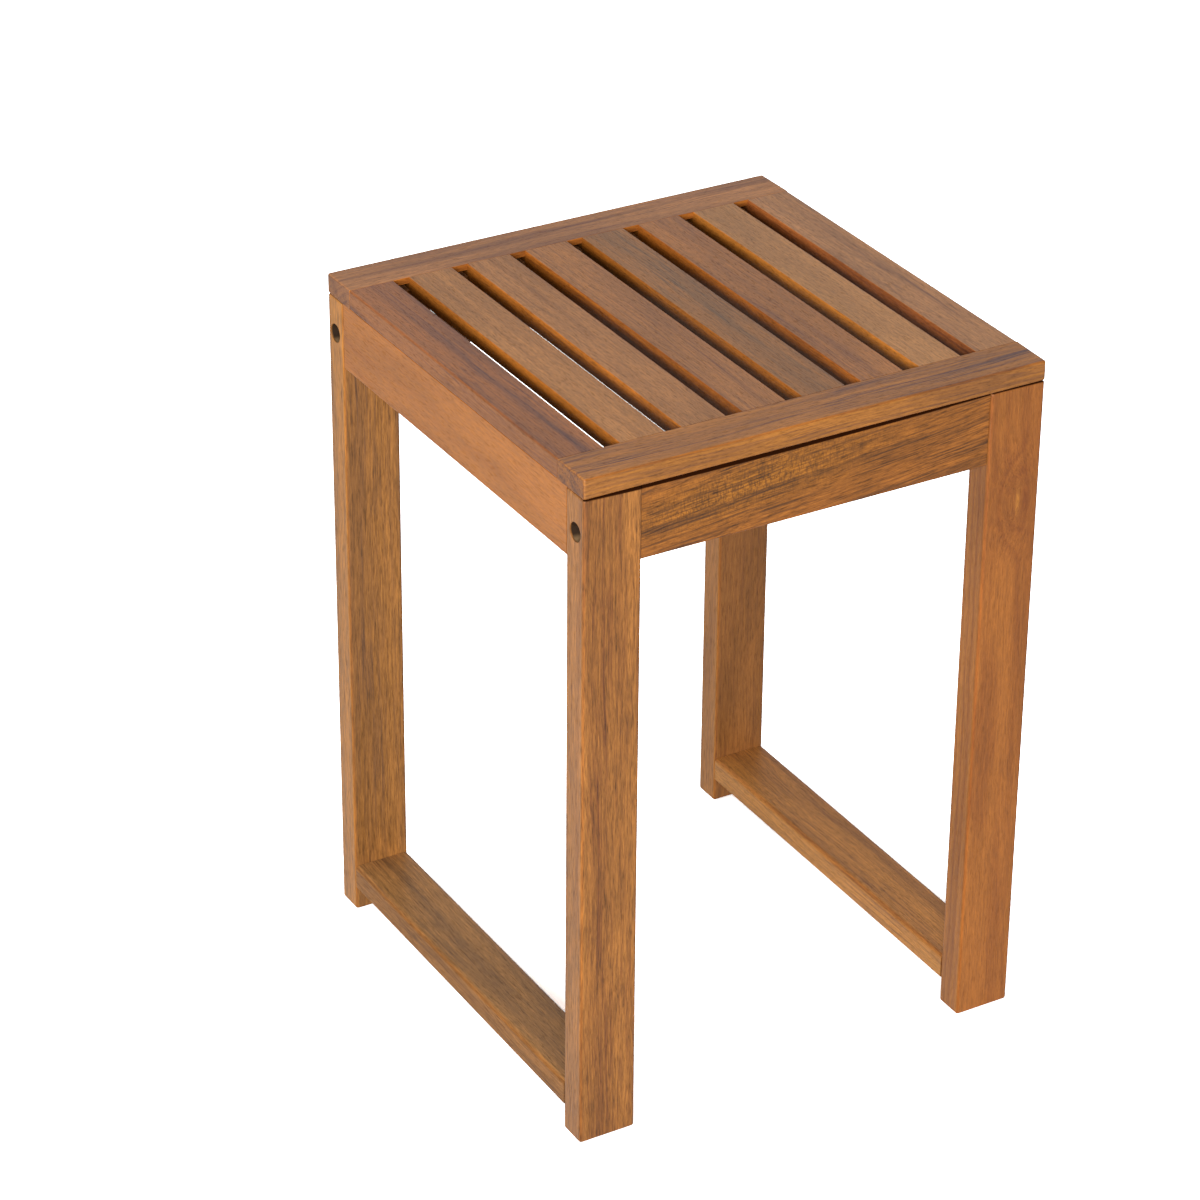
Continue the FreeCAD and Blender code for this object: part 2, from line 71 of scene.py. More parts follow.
class Side(Enum):
    """The low or the high side of an axis, with its words along X and along Y."""

    LOW = (-1, "left", "front")
    HIGH = (1, "right", "rear")

    def __init__(self, sign: int, across: str, deep: str) -> None:
        """Keep the side's sign and words.

        Args:
            sign: The sign of its places on the axis.
            across: Its word along X.
            deep: Its word along Y.
        """
        self.sign = sign
        self.across = across
        self.deep = deep


class Grain(Enum):
    """The axis that a board's fibres run along."""

    ACROSS = 0
    DEEP = 1
    UP = 2

    @property
    def unit(self) -> Vector:
        """The axis as a unit vector."""
        return Vector([float(axis == self.value) for axis in range(3)])

    @property
    def turn(self) -> Euler:
        """The turn that lays the fibres along X."""
        angles = {
            Grain.ACROSS: (0.0, 0.0, 0.0),
            Grain.DEEP: (0.0, 0.0, -math.pi / 2),
            Grain.UP: (0.0, math.pi / 2, 0.0),
        }
        return Euler(angles[self])


def metres(point: Point) -> Vector:
    """Turn a point in millimetres to metres."""
    return Vector(point) * MM


def colour(code: str) -> Colour:
    """Turn an sRGB hex colour to Blender's linear colour.

    Args:
        code: Six hexadecimal digits after a number sign.

    Returns:
        Linear red, green and blue, with full alpha.
    """
    parts = [int(code[start:start + 2], 16) / 255 for start in (1, 3, 5)]
    # The curve of the sRGB standard
    linear = [part / 12.92 if part <= 0.04045 else ((part + 0.055) / 1.055) ** 2.4 for part in parts]
    return (*linear, 1.0)


def deepen(tone: Colour, share: float) -> Colour:
    """Scale a linear colour, and keep its alpha."""
    return (*(part * share for part in tone[:3]), 1.0)


def add(tree: bpy.types.NodeTree, kind: str, inputs: dict[int | str, Value] | None = None,
        **settings: Value) -> bpy.types.Node:
    """Add a node with its settings, values and links.

    Args:
        tree: The tree that gets the node.
        kind: The node's type name.
        inputs: A value, a socket, a node whose first output is meant, or a list of them for each input.
        settings: The node's own properties.

    Returns:
        The new node.
    """
    node = tree.nodes.new(kind)
    for name, value in settings.items():
        setattr(node, name, value)
    for key, value in (inputs or {}).items():
        for source in value if isinstance(value, list) else [value]:
            if isinstance(source, bpy.types.Node):
                source = source.outputs[0]
            if isinstance(source, bpy.types.NodeSocket):
                tree.links.new(source, node.inputs[key])
            else:
                node.inputs[key].default_value = source
    return node


def bare_tree(owner: bpy.types.Material | bpy.types.World) -> bpy.types.NodeTree:
    """Give a material or a world an empty node tree."""
    owner.use_nodes = True
    owner.node_tree.nodes.clear()
    return owner.node_tree


def show(name: str, data: bpy.types.ID) -> bpy.types.Object:
    """Put a mesh, lamp or camera in the scene as an object of that name."""
    shown = bpy.data.objects.new(name, data)
    bpy.context.scene.collection.objects.link(shown)
    return shown


@dataclass(frozen=True)
class StoolSizes:
    """The stool's sizes in millimetres, under the names that the CAD source gives them."""

    stool_height: float = 450.0
    seat_width: float = 312.0
    seat_depth: float = 314.0
    seat_thickness: float = 13.0
    rail_width: float = 30.0
    seat_round: float = 1.5
    slat_count: int = 8
    slat_width: float = 29.8
    slat_thickness: float = 11.0
    slat_round: float = 0.8
    groove_lip: float = 4.0
    groove_height: float = 5.0
    groove_depth: float = 10.0
    groove_stop: float = 12.0
    tongue_length: float = 9.0
    tongue_shoulder: float = 1.0
    fit_clearance: float = 0.1
    leg_width: float = 38.0
    leg_depth: float = 20.0
    leg_round: float = 2.0
    leg_bevel: float = 1.6
    apron_thickness: float = 16.0
    apron_round: float = 1.0
    front_apron_height: float = 47.5
    front_apron_recess: float = 1.5
    side_apron_height: float = 43.5
    side_apron_recess: float = 0.5
    rung_thickness: float = 16.5
    rung_clearance: float = 17.0
    rung_round: float = 3.0
    rung_tenon_width: float = 24.0
    tenon_height: float = 8.0
    tenon_length: float = 14.0
    apron_tenon_width: float = 8.0
    apron_tenon_spacing: float = 23.0
    dowel_diameter: float = 8.0
    dowel_seat: float = 13.0
    dowel_length: float = 30.0
    dowel_drop: float = 14.0
    end_room: float = 0.5
    bolt_hole: float = 6.5
    bolt_reach: float = 36.0
    bolt_seat_diameter: float = 12.0
    bolt_seat_depth: float = 14.0
    nut_hole: float = 10.2
    nut_hole_depth: float = 14.0
    nut_setback: float = 24.0
    screw_hole: float = 4.4
    screw_tip_depth: float = 9.0
    screw_seat_diameter: float = 9.0
    screw_seat_depth: float = 26.0
    screw_setback: float = 58.0

    @property
    def frame_top(self) -> float:
        """Height of the legs' and aprons' upper ends, under the seat."""
        return self.stool_height - self.seat_thickness

    @property
    def slat_length(self) -> float:
        """A slat between the two rails, without its tongues."""
        return self.seat_depth - 2 * self.rail_width

    @property
    def slat_pitch(self) -> float:
        """From one slat's middle to the next one's."""
        return (self.seat_width - self.slat_width) / (self.slat_count - 1)

    @property
    def cross_apron_length(self) -> float:
        """The front or rear apron, between the legs."""
        return self.seat_width - 2 * self.leg_width

    @property
    def side_length(self) -> float:
        """A side apron or a rung between the legs, without its tenons."""
        return self.seat_depth - 2 * self.leg_depth

    @property
    def cross_apron_y(self) -> float:
        """The rear apron's middle plane."""
        return self.seat_depth / 2 - self.front_apron_recess - self.apron_thickness / 2

    @property
    def bolt_z(self) -> float:
        """Height of the connector bolts, in the middle of the front and rear aprons."""
        return self.frame_top - self.front_apron_height / 2

    @property
    def side_apron_x(self) -> float:
        """The right apron's middle plane."""
        return self.seat_width / 2 - self.side_apron_recess - self.apron_thickness / 2

    @property
    def leg_x(self) -> float:
        """A right leg's middle."""
        return (self.seat_width - self.leg_width) / 2

    @property
    def leg_y(self) -> float:
        """A rear leg's middle."""
        return (self.seat_depth - self.leg_depth) / 2


SIZES = StoolSizes()


@dataclass(frozen=True)
class Bore:
    """A round hole, given from the board's middle for the left or front board.

    Attributes:
        mouth: The middle of the hole's opening.
        axis: The axis that it runs along.
        inward: The sign of the way in from the opening.
        diameter: The hole's diameter.
        depth: The hole's depth.
        eased: How far the rim of the opening is rubbed round, or 0.
    """

    mouth: Point
    axis: Grain
    inward: int
    diameter: float
    depth: float
    eased: float = 0.0


@dataclass(frozen=True)
class Block:
    """A squared tenon, tongue, mortise or groove, given from the board's middle for the left or front."""

    middle: Point
    size: Point


@dataclass(frozen=True)
class Knot:
    """A small grown-in knot, round which the growth lines bend.

    Attributes:
        place: Its middle in the stool's own millimetres.
        size: How far it bends the growth lines.
    """

    place: Point
    size: float = 11.0


@dataclass(frozen=True)
class Curl:
    """A spot where the fibres run in short waves, so that it glitters in gold and dark cross flecks.

    Attributes:
        place: Its middle in the stool's own millimetres.
        reach: How far it reaches along, across and through the fibres.
    """

    place: Point
    reach: Point


@dataclass(frozen=True)
class Stripe:
    """A stripe of darker, more streaked wood along the board.

    Attributes:
        middle: Its middle, across and through the board.
        reach: How far it reaches to both sides, across and through the board.
        strength: How dark it is.
    """

    middle: tuple[float, float] = (0.0, 0.0)
    reach: tuple[float, float] = (5.0, 5.0)
    strength: float = 0.0


@dataclass(frozen=True)
class AcaciaBoard:
    """Where in the log a board was sawn, and how its oiled face looks.

    Attributes:
        tone: The board's middle colour.
        cut: Place along the log, which picks the random pattern.
        dark: Colour of the growth lines and mineral streaks.
        pith: Way from the board's middle to the heart of the tree, across and through the board.
        lean: Slope of the fibres for each millimetre along the board, across and through it.
        rings: Strength of the growth lines.
        bands: Strength of the broad dark bands along the fibres.
        streaks: Strength of the narrow dark streaks along the fibres.
        pores: Strength of the dark dashes that the open vessels draw.
        fibres: Strength of the fine light and dark lines of the fibres.
        closeness: How closely fibres and vessels follow each other along the board. At 0.5 they are
            twice as long as FIBRE and VESSEL say.
        stripe: The board's darker stripe.
        gap: How much higher the painted shade of the gap over the front apron is where it is highest than
            at its
        right end.
        joint: Height of the painted shade in the joint at a front leg's top, at its left and right edges.
        edge: Share of red, green and blue that is left on the board's two narrow side faces, a painted
            light that stands
        in for the bounce light, sheen and more or less light that they get.
        fade: How much painted shade darkens those faces towards their lower edge.
        edge_gloss: Their specular level, where the planed faces have OIL_GLOSS.
        knot: The board's knot, if it has one.
        curl: The board's curly spot, if it has one.
    """

    tone: str
    cut: float
    dark: str = "#6A4128"
    pith: tuple[float, float] = (30.0, -60.0)
    lean: tuple[float, float] = (0.0, 0.01)
    rings: float = 0.18
    bands: float = 0.30
    streaks: float = 0.30
    pores: float = 0.6
    fibres: float = 1.4
    closeness: float = 1.0
    stripe: Stripe = Stripe()
    gap: float = 0.0
    joint: tuple[float, float] = (0.0, 0.0)
    edge: Point = (1.0, 1.0, 1.0)
    fade: float = 0.0
    edge_gloss: float = OIL_GLOSS
    knot: Knot | None = None
    curl: Curl | None = None


@dataclass(frozen=True)
class BoardPlan:
    """One board: its place, size and roundings.

    Attributes:
        name: The board's name, also the CAD node's.
        middle: The board's middle.
        size: The board's size, without tenons and tongues.
        grain: The axis of its fibres.
        rounding: The rounding of its long edges.
        end_rounding: The rounding of its ends.
        low_ease: Share of the rounding on the low side of each axis, for the left or front board.
        high_ease: The same on the high side.
    """

    name: str
    middle: Point
    size: Point
    grain: Grain
    rounding: float
    end_rounding: float
    low_ease: Point = (1.0, 1.0, 1.0)
    high_ease: Point = (1.0, 1.0, 1.0)

    @property
    def mirror(self) -> Point:
        """The signs that mirror a board on the right or at the rear."""
        across, deep, _ = self.middle
        return (-1.0 if across > 0 else 1.0, -1.0 if deep > 0 else 1.0, 1.0)


@dataclass(frozen=True)
class Layer:
    """One layer of the acacia pattern: a noise that is stretched along the fibres.

    Attributes:
        wave: Its wavelengths along, across and through the fibres, in millimetres.
        start: The noise at which its marks start to show.
        full: The noise at which they are full.
        detail: The noise's detail.
        fineness: Share of each finer part of the noise in the next coarser one.
    """

    wave: Point
    start: float = 0.0
    full: float = 1.0
    detail: float = 2.0
    fineness: float = 0.55


class GrainTexture:
    """The acacia pattern as one shader group, worked out in millimetres with the fibres along X."""

    WANDER = Layer((170.0, 60.0, 60.0))
    # One noise makes the pale patches and, with its second channel, the places where streaks crowd
    PATCH = Layer((150.0, 34.0, 34.0), 0.36, 0.64)
    CROWD = Layer(PATCH.wave, 0.38, 0.62)
    BAND = Layer((240.0, 9.0, 9.0), 0.46, 0.68)
    STREAK = Layer((90.0, 1.2, 1.2), 0.45, 0.70)
    FIBRE = Layer((10.0, 1.3, 1.3), 0.35, 0.6, detail=3.0, fineness=0.9)
    # Acacia's vessels are about 0.2 mm wide, which is under half a pixel here, so they are drawn
    # 0.75 mm wide
    VESSEL = Layer((5.0, 0.75, 0.75), 0.55, 0.67, detail=1.0)
    FLECK = Layer((1.1, 3.0, 3.0), 0.45, 0.62)

    # A growth ring's width and how far the fibres wander to either side, in millimetres
    SPACING = 5.0
    WAVER = 5.0
    # Darkness at two shares of a ring's width: pale early wood, then the line that ends the year
    YEAR = ((0.40, 0.15), (0.80, 1.0))
    # The faintest line against the strongest
    FAINTEST = 0.2
    # What end grain adds to the rings, as a multiple of their strength
    END_RINGS = 1.5
    # Share of the streaks that is left where they are fewest
    FEWEST = 0.5
    # Share of a stripe's strength that darkens its whole width, besides its streaks
    STRIPE_BODY = 0.5

    # How far a knot bends the growth lines, and the reach of its pale heart
    KNOT_REACH = (25.0, 14.0, 14.0)
    HEART_REACH = (7.0, 9.0, 1.6)
    # Darkness of the swirl round a knot for each millimetre that it bends the growth lines
    SWIRL = 0.11
    # The faintest part of the heart, where the fibres break it up
    BROKEN = 0.3

    # What curly wood, a knot's heart and end grain make of red, green and blue
    GOLD = (1.06, 1.13, 0.85)
    FLAME = (1.25, 1.42, 1.35)
    END_WARMTH = (1.0, 0.94, 0.88)
    # Darkness of the flecks in curly wood
    FLECKS = 0.7
    # Brightness between the pores, what full pores take from it, and what end grain takes
    BRIGHTNESS = 1.08
    PORE_SHADE = 0.42
    END_SHADE = 0.45
    # Roughness of the smoothest wood, and what raised fibres and open vessels add
    ROUGHNESS = 0.32
    FIBRE_ROUGHNESS = 0.20
    VESSEL_ROUGHNESS = 0.12

    SOCKETS = {
        "NodeSocketVector": ("Place", "Cut", "Pith", "Lean", "Knot", "Fibre scale", "Curl",
                             "Curl reach", "Stripe", "Stripe reach"),
        "NodeSocketFloat": ("Knot size", "Rings", "Bands", "Streaks", "Pores", "Fibres", "End grain",
                            "Curly", "Stripe strength"),
        "NodeSocketColor": ("Pale", "Body", "Dark"),
    }

    def __init__(self) -> None:
        """Build the group's sockets and nodes."""
        self.tree = bpy.data.node_groups.new("acacia grain", "ShaderNodeTree")
        sockets = self.tree.interface
        for kind, names in self.SOCKETS.items():
            for name in names:
                sockets.new_socket(name, in_out="INPUT", socket_type=kind)
        for name, kind in (("Colour", "Color"), ("Relief", "Float"), ("Roughness", "Float")):
            sockets.new_socket(name, in_out="OUTPUT", socket_type=f"NodeSocket{kind}")
        self.start = add(self.tree, "NodeGroupInput").outputs
        self._build()

    def _noise(self, place: bpy.types.Node, layer: Layer) -> bpy.types.Node:
        """Add a layer's noise.

        Args:
            place: The node that gives the place in millimetres.
            layer: The layer.

        Returns:
            The noise node.
        """
        scaled = add(self.tree, VECTOR, {0: place, 1: tuple(1 / length for length in layer.wave)},
                     operation="MULTIPLY")
        return add(self.tree, NOISE, {"Vector": scaled, "Scale": 1.0, "Detail": layer.detail,
                                      "Roughness": layer.fineness})

    def _marks(self, noise: bpy.types.Node | bpy.types.NodeSocket, layer: Layer,
               least: float = 0.0) -> bpy.types.Node:
        """Draw the marks of a layer.

        Args:
            noise: What gives the layer's noise.
            layer: The layer.
            least: The level between the marks.

        Returns:
            The node that gives 1 in the marks.
        """
        return add(self.tree, RANGE, {0: noise, 1: layer.start, 2: layer.full, 3: least},
                   interpolation_type="SMOOTHSTEP")

    def _spot(self, place: bpy.types.NodeSocket | bpy.types.Node, middle: bpy.types.NodeSocket,
              reach: bpy.types.NodeSocket | Point) -> bpy.types.Node:
        """Draw a soft oval spot.

        Args:
            place: The place in millimetres.
            middle: The spot's middle.
            reach: How far it reaches along each axis.

        Returns:
            The node that gives 1 in the middle and fades to 0 around it.
        """
        tree = self.tree
        off = add(tree, VECTOR, {0: place, 1: middle}, operation="SUBTRACT")
        oval = add(tree, VECTOR, {0: off, 1: reach}, operation="DIVIDE")
        square = add(tree, VECTOR, {0: oval, 1: oval}, operation="DOT_PRODUCT")
        power = add(tree, MATH, {0: square.outputs["Value"], 1: -1.0}, operation="MULTIPLY")
        return add(tree, MATH, {0: power}, operation="EXPONENT")

    def _growth(self, bent: bpy.types.Node, knot: bpy.types.Node) -> bpy.types.Node:
        """Draw the growth rings round the pith.

        Args:
            bent: The node that gives the place among the wandering fibres, in millimetres.
            knot: The node that gives the nearness of the knot.

        Returns:
            The node that gives 0 in pale wood and up to 1 on a growth line.
        """
        tree, start = self.tree, self.start
        centred = add(tree, VECTOR, {0: bent, 1: start["Pith"]}, operation="SUBTRACT")
        # The heart of the tree runs along the fibres, so the way along them doesn't count
        flat = add(tree, VECTOR, {0: centred, 1: (0.0, 1.0, 1.0)}, operation="MULTIPLY")
        radius = add(tree, VECTOR, {0: flat}, operation="LENGTH")
        swell = add(tree, MATH, {0: knot, 1: start["Knot size"], 2: radius.outputs["Value"]},
                    operation="MULTIPLY_ADD")
        years = add(tree, MATH, {0: swell, 1: self.SPACING}, operation="DIVIDE")
        year = add(tree, MATH, {0: years}, operation="FLOOR")
        season = add(tree, MATH, {0: years}, operation="FRACT")
        fortune = add(tree, "ShaderNodeTexWhiteNoise", {"W": year}, noise_dimensions="1D")
        late = add(tree, "ShaderNodeValToRGB", {0: season})
        ramp = late.color_ramp
        ramp.interpolation = "EASE"
        for place, level in self.YEAR:
            ramp.elements.new(place).color = (level, level, level, 1.0)
        ramp.elements[-1].color = (0.0, 0.0, 0.0, 1.0)
        share = add(tree, MATH, {0: fortune.outputs["Value"], 1: 1 - self.FAINTEST, 2: self.FAINTEST},
                    operation="MULTIPLY_ADD")
        return add(tree, MATH, {0: late, 1: share}, operation="MULTIPLY")

    def _build(self) -> None:
        """Join growth lines, bands, streaks, vessels, curl and knot into colour, relief and roughness."""
        tree, start = self.tree, self.start
        along = add(tree, PARTS, {0: start["Place"]})
        drift = add(tree, VECTOR, {0: start["Lean"], "Scale": along.outputs[0]}, operation="SCALE")
        leaned = add(tree, VECTOR, {0: start["Place"], 1: drift}, operation="SUBTRACT")
        sawn = add(tree, VECTOR, {0: leaned, 1: start["Cut"]}, operation="ADD")
        slow = self._noise(sawn, self.WANDER)
        # A noise swings by a half to either side of a half
        centred = add(tree, VECTOR, {0: slow.outputs["Color"], 1: (0.5, 0.5, 0.5)}, operation="SUBTRACT")
        wander = add(tree, VECTOR, {0: centred, "Scale": 2 * self.WAVER}, operation="SCALE")
        bent = add(tree, VECTOR, {0: leaned, 1: wander}, operation="ADD")
        knot = self._spot(start["Place"], start["Knot"], self.KNOT_REACH)
        growth = self._growth(bent, knot)

        # The knot pushes the fibres aside too
        push = add(tree, MATH, {0: knot, 1: start["Knot size"]}, operation="MULTIPLY")
        aside = add(tree, VECTOR, {0: (0.0, 1.0, 1.0), "Scale": push}, operation="SCALE")
        fibred = add(tree, VECTOR, {0: bent, 1: aside}, operation="ADD")
        place = add(tree, VECTOR, {0: fibred, 1: start["Cut"]}, operation="ADD")
        fine = add(tree, VECTOR, {0: place, 1: start["Fibre scale"]}, operation="MULTIPLY")

        patch = self._noise(place, self.PATCH)
        tones = add(tree, "ShaderNodeSeparateColor", {0: patch.outputs["Color"]}).outputs
        light = self._marks(tones[0], self.PATCH)
        crowd = self._marks(tones[1], self.CROWD, self.FEWEST)
        bands, lines, vessels, waves = (
            self._marks(self._noise(source, layer), layer) for source, layer in
            ((place, self.BAND), (place, self.STREAK), (fine, self.VESSEL), (place, self.FLECK)))
        fibre = self._noise(fine, self.FIBRE)
        curl = self._spot(bent, start["Curl"], start["Curl reach"])
        curly = add(tree, MATH, {0: curl, 1: start["Curly"]}, operation="MULTIPLY")
        stripe = self._spot(bent, start["Stripe"], start["Stripe reach"])
        striped = add(tree, MATH, {0: stripe, 1: start["Stripe strength"]}, operation="MULTIPLY")
        crowded = add(tree, MATH, {0: striped, 1: crowd}, operation="ADD")
        streaks = add(tree, MATH, {0: lines, 1: crowded}, operation="MULTIPLY")

        # How far the dark colour of rings, bands, stripe, swirl and streaks covers the wood
        ring_level = add(tree, MATH, {0: start["End grain"], 1: self.END_RINGS, 2: 1.0},
                         operation="MULTIPLY_ADD")
        rings = add(tree, MATH, {0: ring_level, 1: start["Rings"]}, operation="MULTIPLY")
        # A dark swirl runs round the knot, where its nearness is a half
        outer = add(tree, MATH, {0: 1.0, 1: knot}, operation="SUBTRACT")
        swirl = add(tree, MATH, {0: knot, 1: outer}, operation="MULTIPLY")
        swirl_level = add(tree, MATH, {0: start["Knot size"], 1: self.SWIRL}, operation="MULTIPLY")
        dark: Value = 0.0
        for part, level in ((growth, rings), (bands, start["Bands"]), (striped, self.STRIPE_BODY),
                            (swirl, swirl_level), (streaks, start["Streaks"])):
            dark = add(tree, MATH, {0: part, 1: level, 2: dark}, operation="MULTIPLY_ADD")
        dark.use_clamp = True

        # The knot's own heart is a thin pale flame, broken up by the fibres
        core = self._spot(start["Place"], start["Knot"], self.HEART_REACH)
        sized = add(tree, MATH, {0: start["Knot size"], 1: 0.0}, operation="GREATER_THAN")
        broken = add(tree, RANGE, {0: fibre, 1: self.FIBRE.start, 2: self.FIBRE.full, 3: self.BROKEN})
        heart = add(tree, MATH, {0: core, 1: sized}, operation="MULTIPLY")
        flame = add(tree, MATH, {0: heart, 1: broken}, operation="MULTIPLY")
        fleck = add(tree, MATH, {0: waves, 1: curly}, operation="MULTIPLY")
        flecks = add(tree, MATH, {0: fleck, 1: self.FLECKS}, operation="MULTIPLY")
        gold = add(tree, VECTOR, {0: start["Pale"], 1: self.GOLD}, operation="MULTIPLY")
        flame_tone = add(tree, VECTOR, {0: start["Pale"], 1: self.FLAME}, operation="MULTIPLY")
        wood = start["Body"]
        for share, tone in ((light, start["Pale"]), (curly, gold), (dark, start["Dark"]),
                            (flecks, start["Dark"]), (flame, flame_tone)):
            wood = add(tree, MIX, {0: share, 6: wood, 7: tone}, data_type="RGBA").outputs[2]
        warmer = add(tree, VECTOR, {0: wood, 1: self.END_WARMTH}, operation="MULTIPLY")
        warm = add(tree, MIX, {0: start["End grain"], 6: wood, 7: warmer}, data_type="RGBA").outputs[2]

        pores = add(tree, MATH, {0: vessels, 1: start["Pores"]}, operation="MULTIPLY")
        pored = add(tree, MATH, {0: pores, 1: -self.PORE_SHADE, 2: self.BRIGHTNESS},
                    operation="MULTIPLY_ADD")
        uneven = add(tree, MATH, {0: fibre, 1: 0.5}, operation="SUBTRACT")
        shade = add(tree, MATH, {0: uneven, 1: start["Fibres"], 2: pored}, operation="MULTIPLY_ADD")
        end_shade = add(tree, MATH, {0: start["End grain"], 1: -self.END_SHADE, 2: 1.0},
                        operation="MULTIPLY_ADD")
        shades = add(tree, MATH, {0: shade, 1: end_shade}, operation="MULTIPLY")
        shaded = add(tree, VECTOR, {0: warm, "Scale": shades}, operation="SCALE")

        raised = add(tree, MATH, {0: vessels, 1: -1.0, 2: fibre}, operation="MULTIPLY_ADD")
        dull = add(tree, MATH, {0: fibre, 1: self.FIBRE_ROUGHNESS, 2: self.ROUGHNESS},
                   operation="MULTIPLY_ADD")
        duller = add(tree, MATH, {0: vessels, 1: self.VESSEL_ROUGHNESS, 2: dull},
                     operation="MULTIPLY_ADD")
        add(tree, "NodeGroupOutput", {"Colour": shaded, "Relief": raised, "Roughness": duller})


class OiledAcacia:
    """The finish of one board: acacia heartwood, planed, sanded and wiped with oil.

    Oil soaks in and leaves no film, so the eye sees warm, deep colour with a soft satin gloss, open
    vessels as fine dark dashes along the fibres, and darker, duller end grain.
    """

    # A stripe reaches far past both ends of its board
    ENDLESS = 10000.0
    # How far the pale and the deeper wood depart from a board's tone
    CONTRAST = 0.12
    # How much the cut changes across and through the log, for each millimetre along it
    CUT_SLOPE = (0.37, 0.61)
    # How squarely a face looks along the fibres or across them before it counts as an end or a side
    END = (0.6, 0.95)
    SIDE_FACE = (0.55, 0.9)
    # The same for a rubbed long edge, which looks both ways, and how orange the oil leaves it
    ARRIS = (0.2, 0.5)
    ARRIS_SHARE = 0.7
    ORANGE = (0.90, 0.71, 0.40)
    # Heights from a board's middle between which the painted shade on its side faces fades out upwards, in
    # millimetres
    PAINTED_SHADE_HEIGHTS = (-3.0, 3.5)
    # Height of the fibres over the open vessels in millimetres, and how much of it shows in the light
    RELIEF = 0.1
    RELIEF_SHARE = 0.25
    # Dried plant oil
    IOR = 1.47
    # The painted shade line under the front rail and at the front legs' tops: its colour, and how softly it
    # starts, in millimetres
    LINE = "#2A1206"
    PAINTED_SHADE_LINE_EDGE = (-0.5, 0.3)
    # Raw wood in a bolt seat where it is lit, and the painted shade on its upper rear wall
    RAW_AND_PAINTED_SHADE = ("#9C7C58", "#35261A")

    def __init__(self, grain: bpy.types.NodeTree, plan: BoardPlan, look: AcaciaBoard) -> None:
        """Make one board's material.

        Args:
            grain: The grain group that every board shares.
            plan: The board's place and the axis of its fibres.
            look: Its place in the log and its colours.
        """
        self.material = bpy.data.materials.new(f"oiled acacia, {plan.name.replace('_', ' ')}")
        self.tree = bare_tree(self.material)
        self.plan = plan
        self.look = look
        place = add(self.tree, "ShaderNodeTexCoord")
        self.sawn = add(self.tree, "ShaderNodeMapping", {
            "Vector": place.outputs["Object"], "Location": self._laid((0.0, 0.0, 0.0)),
            "Rotation": plan.grain.turn, "Scale": (1 / MM,) * 3,
        })
        # The place in the board, along, across and through its fibres
        self.place = add(self.tree, PARTS, {0: self.sawn}).outputs
        self._dress(grain)

    def _laid(self, point: Point) -> Vector:
        """Give a point of the stool as the board's pattern has it, both in millimetres."""
        return self.plan.grain.turn.to_matrix() @ (metres(point) - metres(self.plan.middle)) / MM

    def _pattern(self, grain: bpy.types.NodeTree, end: bpy.types.Node) -> bpy.types.NodeOutputs:
        """Put the grain group in the tree, with the board's place in the log.

        Args:
            grain: The grain group.
            end: The node that tells end grain.

        Returns:
            The group's outputs.
        """
        look, tone = self.look, colour(self.look.tone)
        knot = look.knot or Knot((0.0, 0.0, 0.0), 0.0)
        curl = look.curl or Curl((0.0, 0.0, 0.0), (1.0, 1.0, 1.0))
        return add(self.tree, "ShaderNodeGroup", {
            "Place": self.sawn, "Cut": (look.cut, *(look.cut * slope for slope in self.CUT_SLOPE)),
            "Pith": (0.0, *look.pith), "Lean": (0.0, *look.lean), "End grain": end,
            "Knot": self._laid(knot.place), "Knot size": knot.size,
            "Pale": deepen(tone, 1 + self.CONTRAST), "Body": deepen(tone, 1 - self.CONTRAST),
            "Dark": colour(look.dark), "Rings": look.rings, "Bands": look.bands,
            "Streaks": look.streaks, "Pores": look.pores, "Fibres": look.fibres,
            "Fibre scale": (look.closeness, 1.0, 1.0), "Curly": 1.0 if look.curl else 0.0,
            "Curl": self._laid(curl.place), "Curl reach": curl.reach,
            "Stripe": (0.0, *look.stripe.middle), "Stripe reach": (self.ENDLESS, *look.stripe.reach),
            "Stripe strength": look.stripe.strength,
        }, node_tree=grain).outputs

    def _dress(self, grain: bpy.types.NodeTree) -> None:
        """Join the pattern, the side faces, the rubbed edges and the board's own details in a shader.

        Args:
            grain: The grain group.
        """
        tree, look, axis = self.tree, self.look, self.plan.grain
        face = add(tree, "ShaderNodeNewGeometry")
        squareness = add(tree, VECTOR, {0: face.outputs["Normal"]}, operation="ABSOLUTE")
        facing = add(tree, PARTS, {0: squareness}).outputs
        across, through = (facing[other.value] for other in Grain if other is not axis)
        end, edge = (
            add(tree, RANGE, {0: way, 1: low, 2: high}, interpolation_type="SMOOTHSTEP")
            for way, (low, high) in ((facing[axis.value], self.END), (across, self.SIDE_FACE)))
        pattern = self._pattern(grain, end)
        wood = pattern["Colour"]

        # Painted light on the narrow side faces, a tint for their bounce light, sheen or other light, and
        # painted shade that darkens them towards their lower edge
        side_painted_light = add(tree, VECTOR, {0: wood, 1: look.edge}, operation="MULTIPLY")
        lit = add(tree, RANGE, {0: self.place[2], 1: self.PAINTED_SHADE_HEIGHTS[0], 2: self.PAINTED_SHADE_HEIGHTS[1], 3: 1 - look.fade},
                  interpolation_type="SMOOTHSTEP")
        side_painted_shade = add(tree, VECTOR, {0: side_painted_light, "Scale": lit}, operation="SCALE")
        # The wood, with the painted light and shade on its side faces
        oiled = add(tree, MIX, {0: edge, 6: wood, 7: side_painted_shade}, data_type="RGBA").outputs[2]
